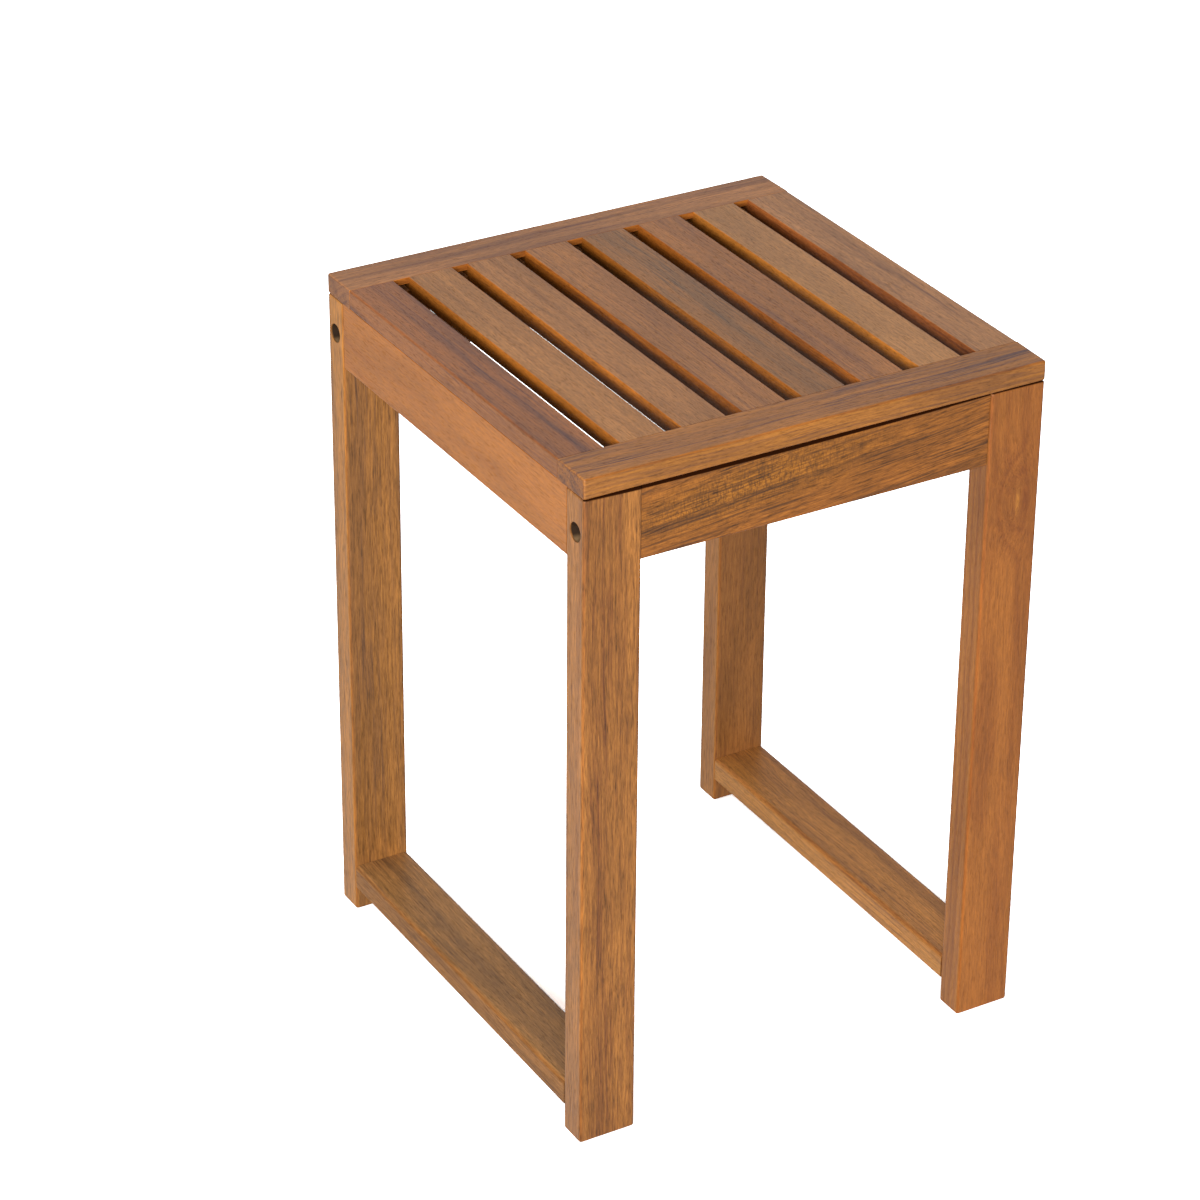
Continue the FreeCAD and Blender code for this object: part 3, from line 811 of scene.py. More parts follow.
        # Oil gathers on the rubbed long edges, which draws a thin orange line along each
        skew = add(tree, MATH, {0: across, 1: through}, operation="MULTIPLY")
        arris = add(tree, RANGE, {0: skew, 1: self.ARRIS[0], 2: self.ARRIS[1], 4: self.ARRIS_SHARE})
        orange = add(tree, VECTOR, {0: oiled, 1: self.ORANGE}, operation="MULTIPLY")
        tone = add(tree, MIX, {0: arris, 6: oiled, 7: orange}, data_type="RGBA").outputs[2]
        gloss: Value = OIL_GLOSS
        if look.edge_gloss != OIL_GLOSS:
            gloss = add(tree, RANGE, {0: edge, 3: OIL_GLOSS, 4: look.edge_gloss})
        # Painted shade: a nearly black line where the rail shades the gap or joint under it
        if look.gap or any(look.joint):
            line = self._painted_gap_shade() if look.gap else self._painted_joint_shade()
            tone = add(tree, MIX, {0: line, 6: tone, 7: colour(self.LINE)}, data_type="RGBA").outputs[2]
            gloss = add(tree, RANGE, {0: line, 3: gloss, 4: 0.0})
        if axis is Grain.UP:
            # Raw wood in the bolt seats, with painted shade on their upper rear walls
            seat, raw = self._bolt_seat()
            tone = add(tree, MIX, {0: seat, 6: tone, 7: raw}, data_type="RGBA").outputs[2]

        relief = add(tree, "ShaderNodeBump", {
            "Height": pattern["Relief"], "Strength": self.RELIEF_SHARE, "Distance": self.RELIEF * MM,
        })
        shader = add(tree, "ShaderNodeBsdfPrincipled", {
            "Base Color": tone, "Roughness": pattern["Roughness"], "Normal": relief, "IOR": self.IOR,
            "Specular IOR Level": gloss,
        })
        add(tree, "ShaderNodeOutputMaterial", {"Surface": shader})

    def _line(self, height: bpy.types.NodeSocket, lower: bpy.types.Node) -> bpy.types.Node:
        """Find the painted shade line under the front rail.

        Args:
            height: The height in the board.
            lower: The node that gives the line's lower border.

        Returns:
            The node that gives 1 above the border.
        """
        above = add(self.tree, MATH, {0: height, 1: lower}, operation="SUBTRACT")
        return add(self.tree, RANGE, {0: above, 1: self.PAINTED_SHADE_LINE_EDGE[0], 2: self.PAINTED_SHADE_LINE_EDGE[1]},
                   interpolation_type="SMOOTHSTEP")

    def _painted_joint_shade(self) -> bpy.types.Node:
        """Find the painted shade in the joint between a front leg's top and the rail that lies on it.

        The photograph shows it as a dark line, which opens towards the leg's right edge.

        Returns:
            The node that gives 1 in the joint's painted shade.
        """
        left, right = self.look.joint
        # The third axis of an upright board's pattern runs to the left
        lower = add(self.tree, RANGE, {
            0: self.place[2], 1: -SIZES.leg_width / 2, 2: SIZES.leg_width / 2,
            3: SIZES.frame_top / 2 - right, 4: SIZES.frame_top / 2 - left,
        })
        # Only the front face shows it, to 2 mm behind that face
        front = add(self.tree, MATH, {0: self.place[1], 1: 2.0 - SIZES.leg_depth / 2},
                    operation="LESS_THAN")
        line = self._line(self.place[0], lower)
        return add(self.tree, MATH, {0: line, 1: front}, operation="MULTIPLY")

    def _painted_gap_shade(self) -> bpy.types.Node:
        """Find the painted shade in the thin gap that opens in the front apron's joint with the rail.

        The photograph shows a nearly black line there, which fades out towards the right end.

        Returns:
            The node that gives 1 in the gap's painted shade.
        """
        # The gap is highest where along is 0, a third of the way from the left end
        half, depth = SIZES.cross_apron_length / 2, self.look.gap
        along = add(self.tree, RANGE, {0: self.place[0], 1: -half, 2: half, 3: -0.5, 4: 1.0})
        square = add(self.tree, MATH, {0: along, 1: along}, operation="MULTIPLY")
        # The rail's overhang hides and shades the upper 1.2 mm all along, which is painted as shade here
        top = SIZES.front_apron_height / 2 - 1.2
        lower = add(self.tree, MATH, {0: square, 1: depth, 2: top - depth}, operation="MULTIPLY_ADD")
        return self._line(self.place[2], lower)

    def _bolt_seat(self) -> tuple[bpy.types.Node, bpy.types.NodeSocket]:
        """Find a leg's drilled bolt seat, which the oil didn't reach.

        Its lower wall is pale raw wood that catches the light, and its upper rear wall, which lies in its
        own shade, gets a painted shade of dark brown.

        Returns:
            The node that gives 1 in the seat, and the seat's colour with its painted shade.
        """
        tree = self.tree
        radius, wide = SIZES.bolt_seat_diameter / 2, SIZES.leg_width / 2
        rise = add(tree, MATH, {0: self.place[0], 1: SIZES.bolt_z - SIZES.frame_top / 2},
                   operation="SUBTRACT")
        off, side, depth = (add(tree, MATH, {0: way}, operation="ABSOLUTE")
                            for way in (rise, self.place[1], self.place[2]))
        # The seat's walls lie up to 0.2 mm past its radius and 0.5 mm inside the leg's wide faces
        near = add(tree, MATH, {0: off, 1: radius + 0.2}, operation="LESS_THAN")
        deep = add(tree, MATH, {0: side, 1: SIZES.leg_depth / 2 - 0.5}, operation="LESS_THAN")
        # They start 0.3 to 1.2 mm inside the narrow face
        seat = add(tree, RANGE, {0: depth, 1: wide - 0.3, 2: wide - 1.2}, interpolation_type="SMOOTHSTEP")
        for share in (near, deep):
            seat = add(tree, MATH, {0: seat, 1: share}, operation="MULTIPLY")
        upper = add(tree, MATH, {0: rise, 1: self.place[1]}, operation="ADD")
        # The painted shade starts low at the front, and is full from 1 mm past the middle, up and to the
        # rear
        shaded = add(tree, RANGE, {0: upper, 1: -radius, 2: 1.0}, interpolation_type="SMOOTHSTEP")
        lit, painted_shade_tone = (colour(code) for code in self.RAW_AND_PAINTED_SHADE)
        raw = add(tree, MIX, {0: shaded, 6: lit, 7: painted_shade_tone}, data_type="RGBA")
        return seat, raw.outputs[2]


class BoardShape:
    """A board's Geometry Nodes tree: a softly rounded board, with its tenons joined and holes cut.

    The inputs are the board's half size, middle and roundings, the signs that mirror it, and its finish.
    """

    # A quarter turn of an edge has twice this many faces
    STEPS = 4
    # A row of points just inside each edge keeps the flat faces flat in their shading
    INSET = 0.4 * MM
    # Faces round a bore, and rings of the ball that eases its rim
    BORE_SIDES = 40
    EASE_RINGS = 16
    # Past this angle an edge is shaded sharp
    SHARP = math.radians(26)

    SOCKETS = {
        "NodeSocketVector": ("Half size", "Middle", "Low ease", "High ease", "Grain", "Mirror"),
        "NodeSocketFloat": ("Rounding", "End rounding"),
        "NodeSocketMaterial": ("Finish",),
    }

    def __init__(self, name: str, cuts: list[Bore | Block], joins: list[Block]) -> None:
        """Build the tree.

        Args:
            name: The tree's name.
            cuts: The holes, grooves and mortises.
            joins: The tenons and tongues.
        """
        self.tree = bpy.data.node_groups.new(name, "GeometryNodeTree")
        sockets = self.tree.interface
        for kind, names in self.SOCKETS.items():
            for socket in names:
                sockets.new_socket(socket, in_out="INPUT", socket_type=kind)
        sockets.new_socket("Board", in_out="OUTPUT", socket_type="NodeSocketGeometry")
        self.start = add(self.tree, "NodeGroupInput").outputs
        shape = self._rounded()
        if joins:
            shape = add(self.tree, "GeometryNodeMeshBoolean", {
                1: [shape] + [self._block(block) for block in joins],
            }, operation="UNION")
        tools = [tool for cut in cuts for tool in self._tools(cut)]
        if tools:
            shape = add(self.tree, "GeometryNodeMeshBoolean", {0: shape, 1: tools}, operation="DIFFERENCE")
        self._finish(shape)

    def _rounded(self) -> bpy.types.Node:
        """Bend a fine cube into the rounded board.

        Each axis of the cube has one long middle step, a short one inside the edge, and STEPS steps that
        turn half of the edge.

        Returns:
            The node that gives the board.
        """
        tree, start = self.tree, self.start
        rows = 2 * (self.STEPS + 2)
        cube = add(tree, "GeometryNodeMeshCube", {
            "Size": (2.0, 2.0, 2.0), "Vertices X": rows, "Vertices Y": rows, "Vertices Z": rows,
        })
        place = add(tree, "GeometryNodeInputPosition")
        sign = add(tree, VECTOR, {0: place}, operation="SIGN")
        size = add(tree, VECTOR, {0: place}, operation="ABSOLUTE")
        # A point's row, from 0 at the ends of the middle step. The rows past 1 turn the edge.
        row = add(tree, VECTOR, {0: size, 1: ((rows - 1) / 2,) * 3, 2: (-0.5,) * 3},
                  operation="MULTIPLY_ADD")
        past = add(tree, VECTOR, {0: row, 1: (1.0,) * 3}, operation="SUBTRACT")
        turned = add(tree, VECTOR, {0: past, 1: (0.0,) * 3}, operation="MAXIMUM")
        angle = add(tree, VECTOR, {0: turned, "Scale": math.pi / 4 / self.STEPS}, operation="SCALE")
        slope = add(tree, VECTOR, {0: angle}, operation="TANGENT")
        signed = add(tree, VECTOR, {0: slope, 1: sign}, operation="MULTIPLY")
        outward = add(tree, VECTOR, {0: signed}, operation="NORMALIZE")

        # The ease of the two sides that meet at an edge scales its rounding
        mirrored = add(tree, VECTOR, {0: sign, 1: start["Mirror"]}, operation="MULTIPLY")
        half_sign = add(tree, VECTOR, {0: mirrored, 1: (0.5,) * 3, 2: (0.5,) * 3}, operation="MULTIPLY_ADD")
        spread = add(tree, VECTOR, {0: start["High ease"], 1: start["Low ease"]}, operation="SUBTRACT")
        ease = add(tree, VECTOR, {0: spread, 1: half_sign, 2: start["Low ease"]}, operation="MULTIPLY_ADD")
        long_round = start["Rounding"]
        for share in add(tree, PARTS, {0: ease}).outputs:
            long_round = add(tree, MATH, {0: share, 1: long_round}, operation="MULTIPLY")
        across = add(tree, VECTOR, {0: (1.0,) * 3, 1: start["Grain"]}, operation="SUBTRACT")
        long_part = add(tree, VECTOR, {0: across, "Scale": long_round}, operation="SCALE")
        end_part = add(tree, VECTOR, {0: start["Grain"], "Scale": start["End rounding"]}, operation="SCALE")
        rounding = add(tree, VECTOR, {0: long_part, 1: end_part}, operation="ADD")

        inner = add(tree, VECTOR, {0: start["Half size"], 1: rounding}, operation="SUBTRACT")
        reached = add(tree, VECTOR, {0: row, 1: (1.0,) * 3}, operation="MINIMUM")
        inset = add(tree, VECTOR, {0: reached, 1: (self.INSET,) * 3, 2: (-self.INSET,) * 3},
                    operation="MULTIPLY_ADD")
        core = add(tree, VECTOR, {0: inner, 1: inset}, operation="ADD")
        cored = add(tree, VECTOR, {0: core, 1: sign}, operation="MULTIPLY")
        shell = add(tree, VECTOR, {0: outward, 1: rounding, 2: cored}, operation="MULTIPLY_ADD")
        placed = add(tree, VECTOR, {0: shell, 1: start["Middle"]}, operation="ADD")
        return add(tree, "GeometryNodeSetPosition", {"Geometry": cube, "Position": placed})

    def _put(self, shape: bpy.types.Node, middle: Point, turn: Point = (0.0, 0.0, 0.0),
             scale: Point = (1.0, 1.0, 1.0)) -> bpy.types.Node:
        """Put a cutter or tenon at its place, mirrored on the right and at the rear.

        Args:
            shape: The node that makes it.
            middle: Its middle from the board's, for the left or front.
            turn: Its turn about X, Y and Z in radians.
            scale: Its scale before the turn.

        Returns:
            The node that gives it in place.
        """
        place = add(self.tree, VECTOR, {
            0: metres(middle), 1: self.start["Mirror"], 2: self.start["Middle"],
        }, operation="MULTIPLY_ADD")
        return add(self.tree, "GeometryNodeTransform", {
            "Geometry": shape, "Translation": place, "Rotation": turn, "Scale": scale,
        })

    def _block(self, block: Block) -> bpy.types.Node:
        """Make a squared tenon or cutter."""
        cube = add(self.tree, "GeometryNodeMeshCube", {"Size": metres(block.size)})
        return self._put(cube, block.middle)

    def _tools(self, cut: Bore | Block) -> list[bpy.types.Node]:
        """Make the cutters of one hole, groove or mortise.

        Args:
            cut: The hole, groove or mortise.

        Returns:
            The nodes that give the cutters.
        """
        if isinstance(cut, Block):
            return [self._block(cut)]
        turn = {Grain.ACROSS: (0.0, math.pi / 2, 0.0), Grain.DEEP: (math.pi / 2, 0.0, 0.0),
                Grain.UP: (0.0, 0.0, 0.0)}[cut.axis]
        rod = add(self.tree, "GeometryNodeMeshCylinder", {
            "Vertices": self.BORE_SIDES, "Radius": cut.diameter / 2 * MM,
            "Depth": (cut.depth + POKE) * MM,
        })
        middle = Vector(cut.mouth) + cut.axis.unit * cut.inward * (cut.depth - POKE) / 2
        tools = [self._put(rod, tuple(middle), turn)]
        if cut.eased:
            ball = add(self.tree, "GeometryNodeMeshUVSphere", {
                "Segments": self.BORE_SIDES, "Rings": self.EASE_RINGS,
                "Radius": (cut.diameter / 2 + cut.eased) * MM,
            })
            # Squashed, it reaches about as far into the bore as out of its sides
            flat = 2 * cut.eased / cut.diameter
            tools.append(self._put(ball, cut.mouth, turn, (1.0, 1.0, flat)))
        return tools

    def _finish(self, shape: bpy.types.Node) -> None:
        """Shade the rounded faces smooth, keep the cut edges sharp, and set the finish."""
        tree = self.tree
        smooth = add(tree, "GeometryNodeSetShadeSmooth", {0: shape}, domain="FACE")
        angle = add(tree, "GeometryNodeInputMeshEdgeAngle")
        steep = add(tree, "FunctionNodeCompare", {0: angle, 1: self.SHARP}, operation="GREATER_THAN")
        crisp = add(tree, "GeometryNodeSetShadeSmooth", {
            0: smooth, "Selection": steep, "Shade Smooth": False,
        }, domain="EDGE")
        whole = add(tree, "GeometryNodeRealizeInstances", {0: crisp})
        dressed = add(tree, "GeometryNodeSetMaterial", {
            "Geometry": whole, "Material": self.start["Finish"],
        })
        add(tree, "NodeGroupOutput", {"Board": dressed})

    def make(self, name: str, finish: bpy.types.Material, inputs: dict[str, Value]) -> bpy.types.Object:
        """Run the tree and keep its result as a plain mesh.

        Args:
            name: The piece's name.
            finish: The piece's material.
            inputs: The tree's other inputs by name.

        Returns:
            The piece, at the origin and with no modifier.
        """
        piece = show(name, bpy.data.meshes.new(name))
        modifier = piece.modifiers.new("shape", "NODES")
        modifier.node_group = self.tree
        known = {item.name: item.identifier for item in self.tree.interface.items_tree
                 if item.in_out == "INPUT"}
        for key, value in {**inputs, "Finish": finish}.items():
            modifier[known[key]] = value
        bpy.context.view_layer.update()
        graph = bpy.context.evaluated_depsgraph_get()
        mesh = bpy.data.meshes.new_from_object(piece.evaluated_get(graph), depsgraph=graph)
        mesh.name = name
        piece.modifiers.clear()
        piece.data = mesh
        return piece


class Workshop:
    """Makes boards from plans, and lets each take the place of its CAD node."""

    def __init__(self) -> None:
        """Get the acacia's grain ready."""
        self.grain = GrainTexture()

    def build(self, shape: BoardShape, plan: BoardPlan) -> None:
        """Make one board and put it in the place of its CAD node.

        Args:
            shape: The tree that shapes it.
            plan: Its place, size and roundings.
        """
        finish = OiledAcacia(self.grain.tree, plan, LOOKS[plan.name]).material
        piece = shape.make(plan.name + "_board", finish, {
            "Half size": metres(plan.size) / 2, "Middle": metres(plan.middle),
            "Rounding": plan.rounding * MM, "End rounding": plan.end_rounding * MM,
            "Low ease": plan.low_ease, "High ease": plan.high_ease, "Grain": plan.grain.unit,
            "Mirror": plan.mirror,
        })
        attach(piece, "root")
        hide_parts(plan.name)
        LOG.info("%s: %d faces", piece.name, len(piece.data.polygons))


@dataclass
class Seat:
    """The seat: two grooved rails, two edge slats and six thinner slats between them.

    Attributes:
        workshop: Where the boards are made.
        joint: The rounding of the slats' ends, where they meet the rails.
        inner_ease: Share of the rails' rounding on the edge that the slats meet.
    """

    workshop: Workshop
    joint: float = 0.12
    inner_ease: float = 0.25

    def build(self) -> None:
        """Make the rails and the slats."""
        self._rails()
        self._edge_slats()
        self._inner_slats()

    def _rails(self) -> None:
        """Make the front and rear rails, with a stopped groove and the screw holes."""
        top = SIZES.seat_thickness / 2
        rail_y = (SIZES.seat_depth - SIZES.rail_width) / 2
        screw_x = SIZES.cross_apron_length / 2 - SIZES.screw_setback
        groove = Block(
            (0.0, (SIZES.rail_width - SIZES.groove_depth + POKE) / 2,
             top - SIZES.groove_lip - SIZES.groove_height / 2),
            (SIZES.seat_width - 2 * SIZES.groove_stop, SIZES.groove_depth + POKE,
             SIZES.groove_height),
        )
        screws = [Bore((side.sign * screw_x, rail_y - SIZES.cross_apron_y, -top), Grain.UP, 1,
                       SIZES.screw_hole, SIZES.screw_tip_depth) for side in Side]
        shape = BoardShape("grooved rail", [groove, *screws], [])
        for side in Side:
            self.workshop.build(shape, BoardPlan(
                f"{side.deep}_rail", (0.0, side.sign * rail_y, SIZES.stool_height - top),
                (SIZES.seat_width, SIZES.rail_width, SIZES.seat_thickness), Grain.ACROSS,
                SIZES.seat_round, SIZES.seat_round, high_ease=(1.0, self.inner_ease, 1.0),
            ))

    def _tongue(self, thickness: float, left: float, right: float) -> Block:
        """Give a slat's tongue.

        Args:
            thickness: The slat's thickness.
            left: How far the tongue stands back from the slat's left edge.
            right: The same on the right.

        Returns:
            The tongue, through the whole slat and out at both ends.
        """
        height = SIZES.groove_height - 2 * SIZES.fit_clearance
        return Block(
            ((left - right) / 2, 0.0, thickness / 2 - SIZES.groove_lip - SIZES.groove_height / 2),
            (SIZES.slat_width - left - right, SIZES.slat_length + 2 * SIZES.tongue_length, height),
        )

    def _edge_slats(self) -> None:
        """Make the left and right edge slats, as thick as the rails."""
        tongue = self._tongue(SIZES.seat_thickness, SIZES.groove_stop + SIZES.fit_clearance,
                              SIZES.tongue_shoulder)
        shape = BoardShape("edge slat", [], [tongue])
        for side in Side:
            self.workshop.build(shape, BoardPlan(
                f"{side.across}_edge_slat", (side.sign * (SIZES.seat_width - SIZES.slat_width) / 2,
                                             0.0, SIZES.stool_height - SIZES.seat_thickness / 2),
                (SIZES.slat_width, SIZES.slat_length, SIZES.seat_thickness), Grain.DEEP,
                SIZES.seat_round, self.joint, high_ease=(SIZES.slat_round / SIZES.seat_round, 1.0, 1.0),
            ))

    def _inner_slats(self) -> None:
        """Make the six slats between the edge slats."""
        tongue = self._tongue(SIZES.slat_thickness, SIZES.tongue_shoulder, SIZES.tongue_shoulder)
        shape = BoardShape("inner slat", [], [tongue])
        for number in range(2, SIZES.slat_count):
            middle_x = (number - (SIZES.slat_count + 1) / 2) * SIZES.slat_pitch
            self.workshop.build(shape, BoardPlan(
                f"slat_{number}", (middle_x, 0.0, SIZES.stool_height - SIZES.slat_thickness / 2),
                (SIZES.slat_width, SIZES.slat_length, SIZES.slat_thickness), Grain.DEEP,
                SIZES.slat_round, self.joint,
            ))


@dataclass
class SideFrames:
    """The two side frames: legs, side aprons and rungs.

    Attributes:
        workshop: Where the boards are made.
        joint: The rounding of the aprons' and rungs' ends, where they meet the legs.
        covered_ease: Share of the rounding on the aprons' upper and the rungs' lower edges.
        seat_ease: How far the rim of a bolt seat is rubbed round.
    """

    workshop: Workshop
    joint: float = 0.15
    covered_ease: float = 0.3
    seat_ease: float = 0.35

    def build(self) -> None:
        """Make the legs, the side aprons and the rungs."""
        self._legs()
        self._side_aprons()
        self._rungs()

    def _legs(self) -> None:
        """Make the four legs, with bolt holes, dowel holes and mortises."""
        wide = SIZES.leg_width / 2
        bolt_y = SIZES.leg_y - SIZES.cross_apron_y
        bolt_z = SIZES.bolt_z - SIZES.frame_top / 2
        rung_z = SIZES.rung_clearance + (SIZES.rung_thickness - SIZES.frame_top) / 2
        room = 2 * SIZES.fit_clearance
        depth = SIZES.tenon_length + SIZES.end_room
        cuts: list[Bore | Block] = [
            Bore((-wide, bolt_y, bolt_z), Grain.ACROSS, 1, SIZES.bolt_hole,
                 SIZES.leg_width + POKE),
            Bore((-wide, bolt_y, bolt_z), Grain.ACROSS, 1, SIZES.bolt_seat_diameter,
                 SIZES.bolt_seat_depth, self.seat_ease),
            Bore((wide, bolt_y, bolt_z - SIZES.dowel_drop), Grain.ACROSS, -1,
                 SIZES.dowel_diameter + room, SIZES.dowel_seat + SIZES.end_room),
        ]
        # Each mortise's place across the leg, its height and its tenon's width
        mortises = [(0.0, rung_z, SIZES.rung_tenon_width)]
        mortises += [(SIZES.leg_x - SIZES.side_apron_x,
                      bolt_z + side.sign * SIZES.apron_tenon_spacing / 2, SIZES.apron_tenon_width)
                     for side in Side]
        cuts += [Block((across, (SIZES.leg_depth - depth + POKE) / 2, height),
                       (width + room, depth + POKE, SIZES.tenon_height + room))
                 for across, height, width in mortises]
        shape = BoardShape("leg", cuts, [])
        for deep in Side:
            for near in Side:
                self.workshop.build(shape, BoardPlan(
                    f"{deep.deep}_{near.across}_leg",
                    (near.sign * SIZES.leg_x, deep.sign * SIZES.leg_y, SIZES.frame_top / 2),
                    (SIZES.leg_width, SIZES.leg_depth, SIZES.frame_top), Grain.UP,
                    SIZES.leg_round, SIZES.leg_bevel,
                ))

    def _side_aprons(self) -> None:
        """Make the left and right aprons, each with two tenons at each end."""
        middle_z = SIZES.frame_top - SIZES.side_apron_height / 2
        tenons = [Block(
            (0.0, 0.0, SIZES.bolt_z - middle_z + side.sign * SIZES.apron_tenon_spacing / 2),
            (SIZES.apron_tenon_width, SIZES.side_length + 2 * SIZES.tenon_length, SIZES.tenon_height),
        ) for side in Side]
        shape = BoardShape("side apron", [], tenons)
        for side in Side:
            self.workshop.build(shape, BoardPlan(
                f"{side.across}_apron", (side.sign * SIZES.side_apron_x, 0.0, middle_z),
                (SIZES.apron_thickness, SIZES.side_length, SIZES.side_apron_height), Grain.DEEP,
                SIZES.apron_round, self.joint, high_ease=(1.0, 1.0, self.covered_ease),
            ))

    def _rungs(self) -> None:
        """Make the two rungs, their upper edges well rounded."""
        tenon = Block((0.0, 0.0, 0.0), (SIZES.rung_tenon_width,
                                        SIZES.side_length + 2 * SIZES.tenon_length, SIZES.tenon_height))
        shape = BoardShape("rung", [], [tenon])
        middle_z = SIZES.rung_clearance + SIZES.rung_thickness / 2
        for side in Side:
            self.workshop.build(shape, BoardPlan(
                f"{side.across}_rung", (side.sign * SIZES.leg_x, 0.0, middle_z),
                (SIZES.leg_width, SIZES.side_length, SIZES.rung_thickness), Grain.DEEP,
                SIZES.rung_round, self.joint, low_ease=(1.0, 1.0, self.covered_ease),
            ))


@dataclass
class CrossAprons:
    """The front and rear aprons, which the connector bolts draw against the side frames.

    Attributes:
        workshop: Where the boards are made.
        joint: The rounding of the aprons' ends, where they meet the legs.
        covered_ease: Share of the rounding on the edge under the seat.
        hole_ease: How far the rims of the nut holes and screw seats are rubbed round.
    """

    workshop: Workshop
    joint: float = 0.15
    covered_ease: float = 0.3
    hole_ease: float = 0.25

    def build(self) -> None:
        """Make both aprons, with the holes of the bolts, nuts, dowels and seat screws."""
        half, low = SIZES.cross_apron_length / 2, -SIZES.front_apron_height / 2
        cuts: list[Bore | Block] = []
        for side in Side:
            end, inward = side.sign * half, -side.sign
            nut_x = end + inward * SIZES.nut_setback
            screw_x = end + inward * SIZES.screw_setback
            cuts += [
                Bore((end, 0.0, 0.0), Grain.ACROSS, inward, SIZES.bolt_hole, SIZES.bolt_reach),
                Bore((end, 0.0, -SIZES.dowel_drop), Grain.ACROSS, inward,
                     SIZES.dowel_diameter + 2 * SIZES.fit_clearance,
                     SIZES.dowel_length - SIZES.dowel_seat + SIZES.end_room),
                Bore((nut_x, SIZES.apron_thickness / 2, 0.0), Grain.DEEP, -1,
                     SIZES.nut_hole, SIZES.nut_hole_depth, self.hole_ease),
                Bore((screw_x, 0.0, low), Grain.UP, 1, SIZES.screw_hole,
                     SIZES.front_apron_height + POKE),
                Bore((screw_x, 0.0, low), Grain.UP, 1, SIZES.screw_seat_diameter,
                     SIZES.screw_seat_depth, self.hole_ease),
            ]
        shape = BoardShape("cross apron", cuts, [])
        for side in Side:
            self.workshop.build(shape, BoardPlan(
                f"{side.deep}_apron", (0.0, side.sign * SIZES.cross_apron_y, SIZES.bolt_z),
                (SIZES.cross_apron_length, SIZES.apron_thickness, SIZES.front_apron_height),
                Grain.ACROSS, SIZES.apron_round, self.joint, high_ease=(1.0, 1.0, self.covered_ease),
            ))


@dataclass(frozen=True)
class CloudedFinish:
    """A finish whose colour and roughness change with the spots of one noise.

    Attributes:
        name: The material's name.
        tones: Its colours between the spots and in them.
        spots: The noise between which the colour changes.
        soft: Whether the spots' borders are soft.
        size: The spots' size along X, Y and Z in millimetres.
        detail: The noise's detail.
        roughness: Its roughness between the spots and in them.
        relief: How much of the spots' height, 0.05 mm, shows in the light.
        shine: The shader's metallic level and IOR, by socket.
    """

    name: str
    tones: tuple[str, str]
    spots: tuple[float, float]
    soft: bool
    size: Point
    detail: float
    roughness: tuple[float, float]
    relief: float
    shine: dict[str, float]

    def make(self) -> bpy.types.Material:
        """Make the material."""
        material = bpy.data.materials.new(self.name)
        tree = bare_tree(material)
        place = add(tree, "ShaderNodeTexCoord")
        scaled = add(tree, "ShaderNodeMapping", {
            "Vector": place.outputs["Object"],
            "Scale": tuple(1 / (length * MM) for length in self.size),
        })
        noise = add(tree, NOISE, {"Vector": scaled, "Scale": 1.0, "Detail": self.detail})
        share = add(tree, RANGE, {0: noise, 1: self.spots[0], 2: self.spots[1]},
                    interpolation_type="SMOOTHSTEP" if self.soft else "LINEAR")
        plain, spotted = (colour(code) for code in self.tones)
        tone = add(tree, MIX, {0: share, 6: plain, 7: spotted}, data_type="RGBA")
        rough = add(tree, RANGE, {0: noise, 3: self.roughness[0], 4: self.roughness[1]})
        relief = add(tree, "ShaderNodeBump", {
            "Height": noise, "Strength": self.relief, "Distance": 0.05 * MM,
        })
        shader = add(tree, "ShaderNodeBsdfPrincipled", {
            "Base Color": tone.outputs[2], "Roughness": rough, "Normal": relief, **self.shine,
        })
        add(tree, "ShaderNodeOutputMaterial", {"Surface": shader})
        return material


class Fittings:
    """The hidden fittings, which keep their CAD meshes."""

    # Zinc plating on steel: a cool, slightly blue silver with cloudy, satin spangle of about 1.5 mm
    STEEL = CloudedFinish(
        "zinc plated steel", tones=("#A3A7AB", "#C4C8C6"), spots=(0.0, 1.0), soft=False,
        size=(1.5, 1.5, 1.5), detail=3.0, roughness=(0.26, 0.46), relief=0.1, shine={"Metallic": 1.0})
    # Turned beech: pale pinkish wood with darker ray flecks along the dowel, 3 mm long and 0.5 mm wide
    BEECH = CloudedFinish(
        "turned beech", tones=("#D9B48C", "#B98A62"), spots=(0.5, 0.7), soft=True,
        size=(3.0, 0.5, 0.5), detail=2.0, roughness=(0.5, 0.65), relief=0.2, shine={"IOR": 1.5})

    def build(self) -> None:
        """Give the steel fittings and the dowels their finishes."""
        for kind, names in ((self.STEEL, ("connector_bolts", "barrel_nuts", "top_screws")),
                            (self.BEECH, ("apron_dowels",))):
            finish = kind.make()
            for name in names:
                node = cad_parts[name]
                node.data.materials.clear()
                node.data.materials.append(finish)
                LOG.info("%s: %s", name, finish.name)


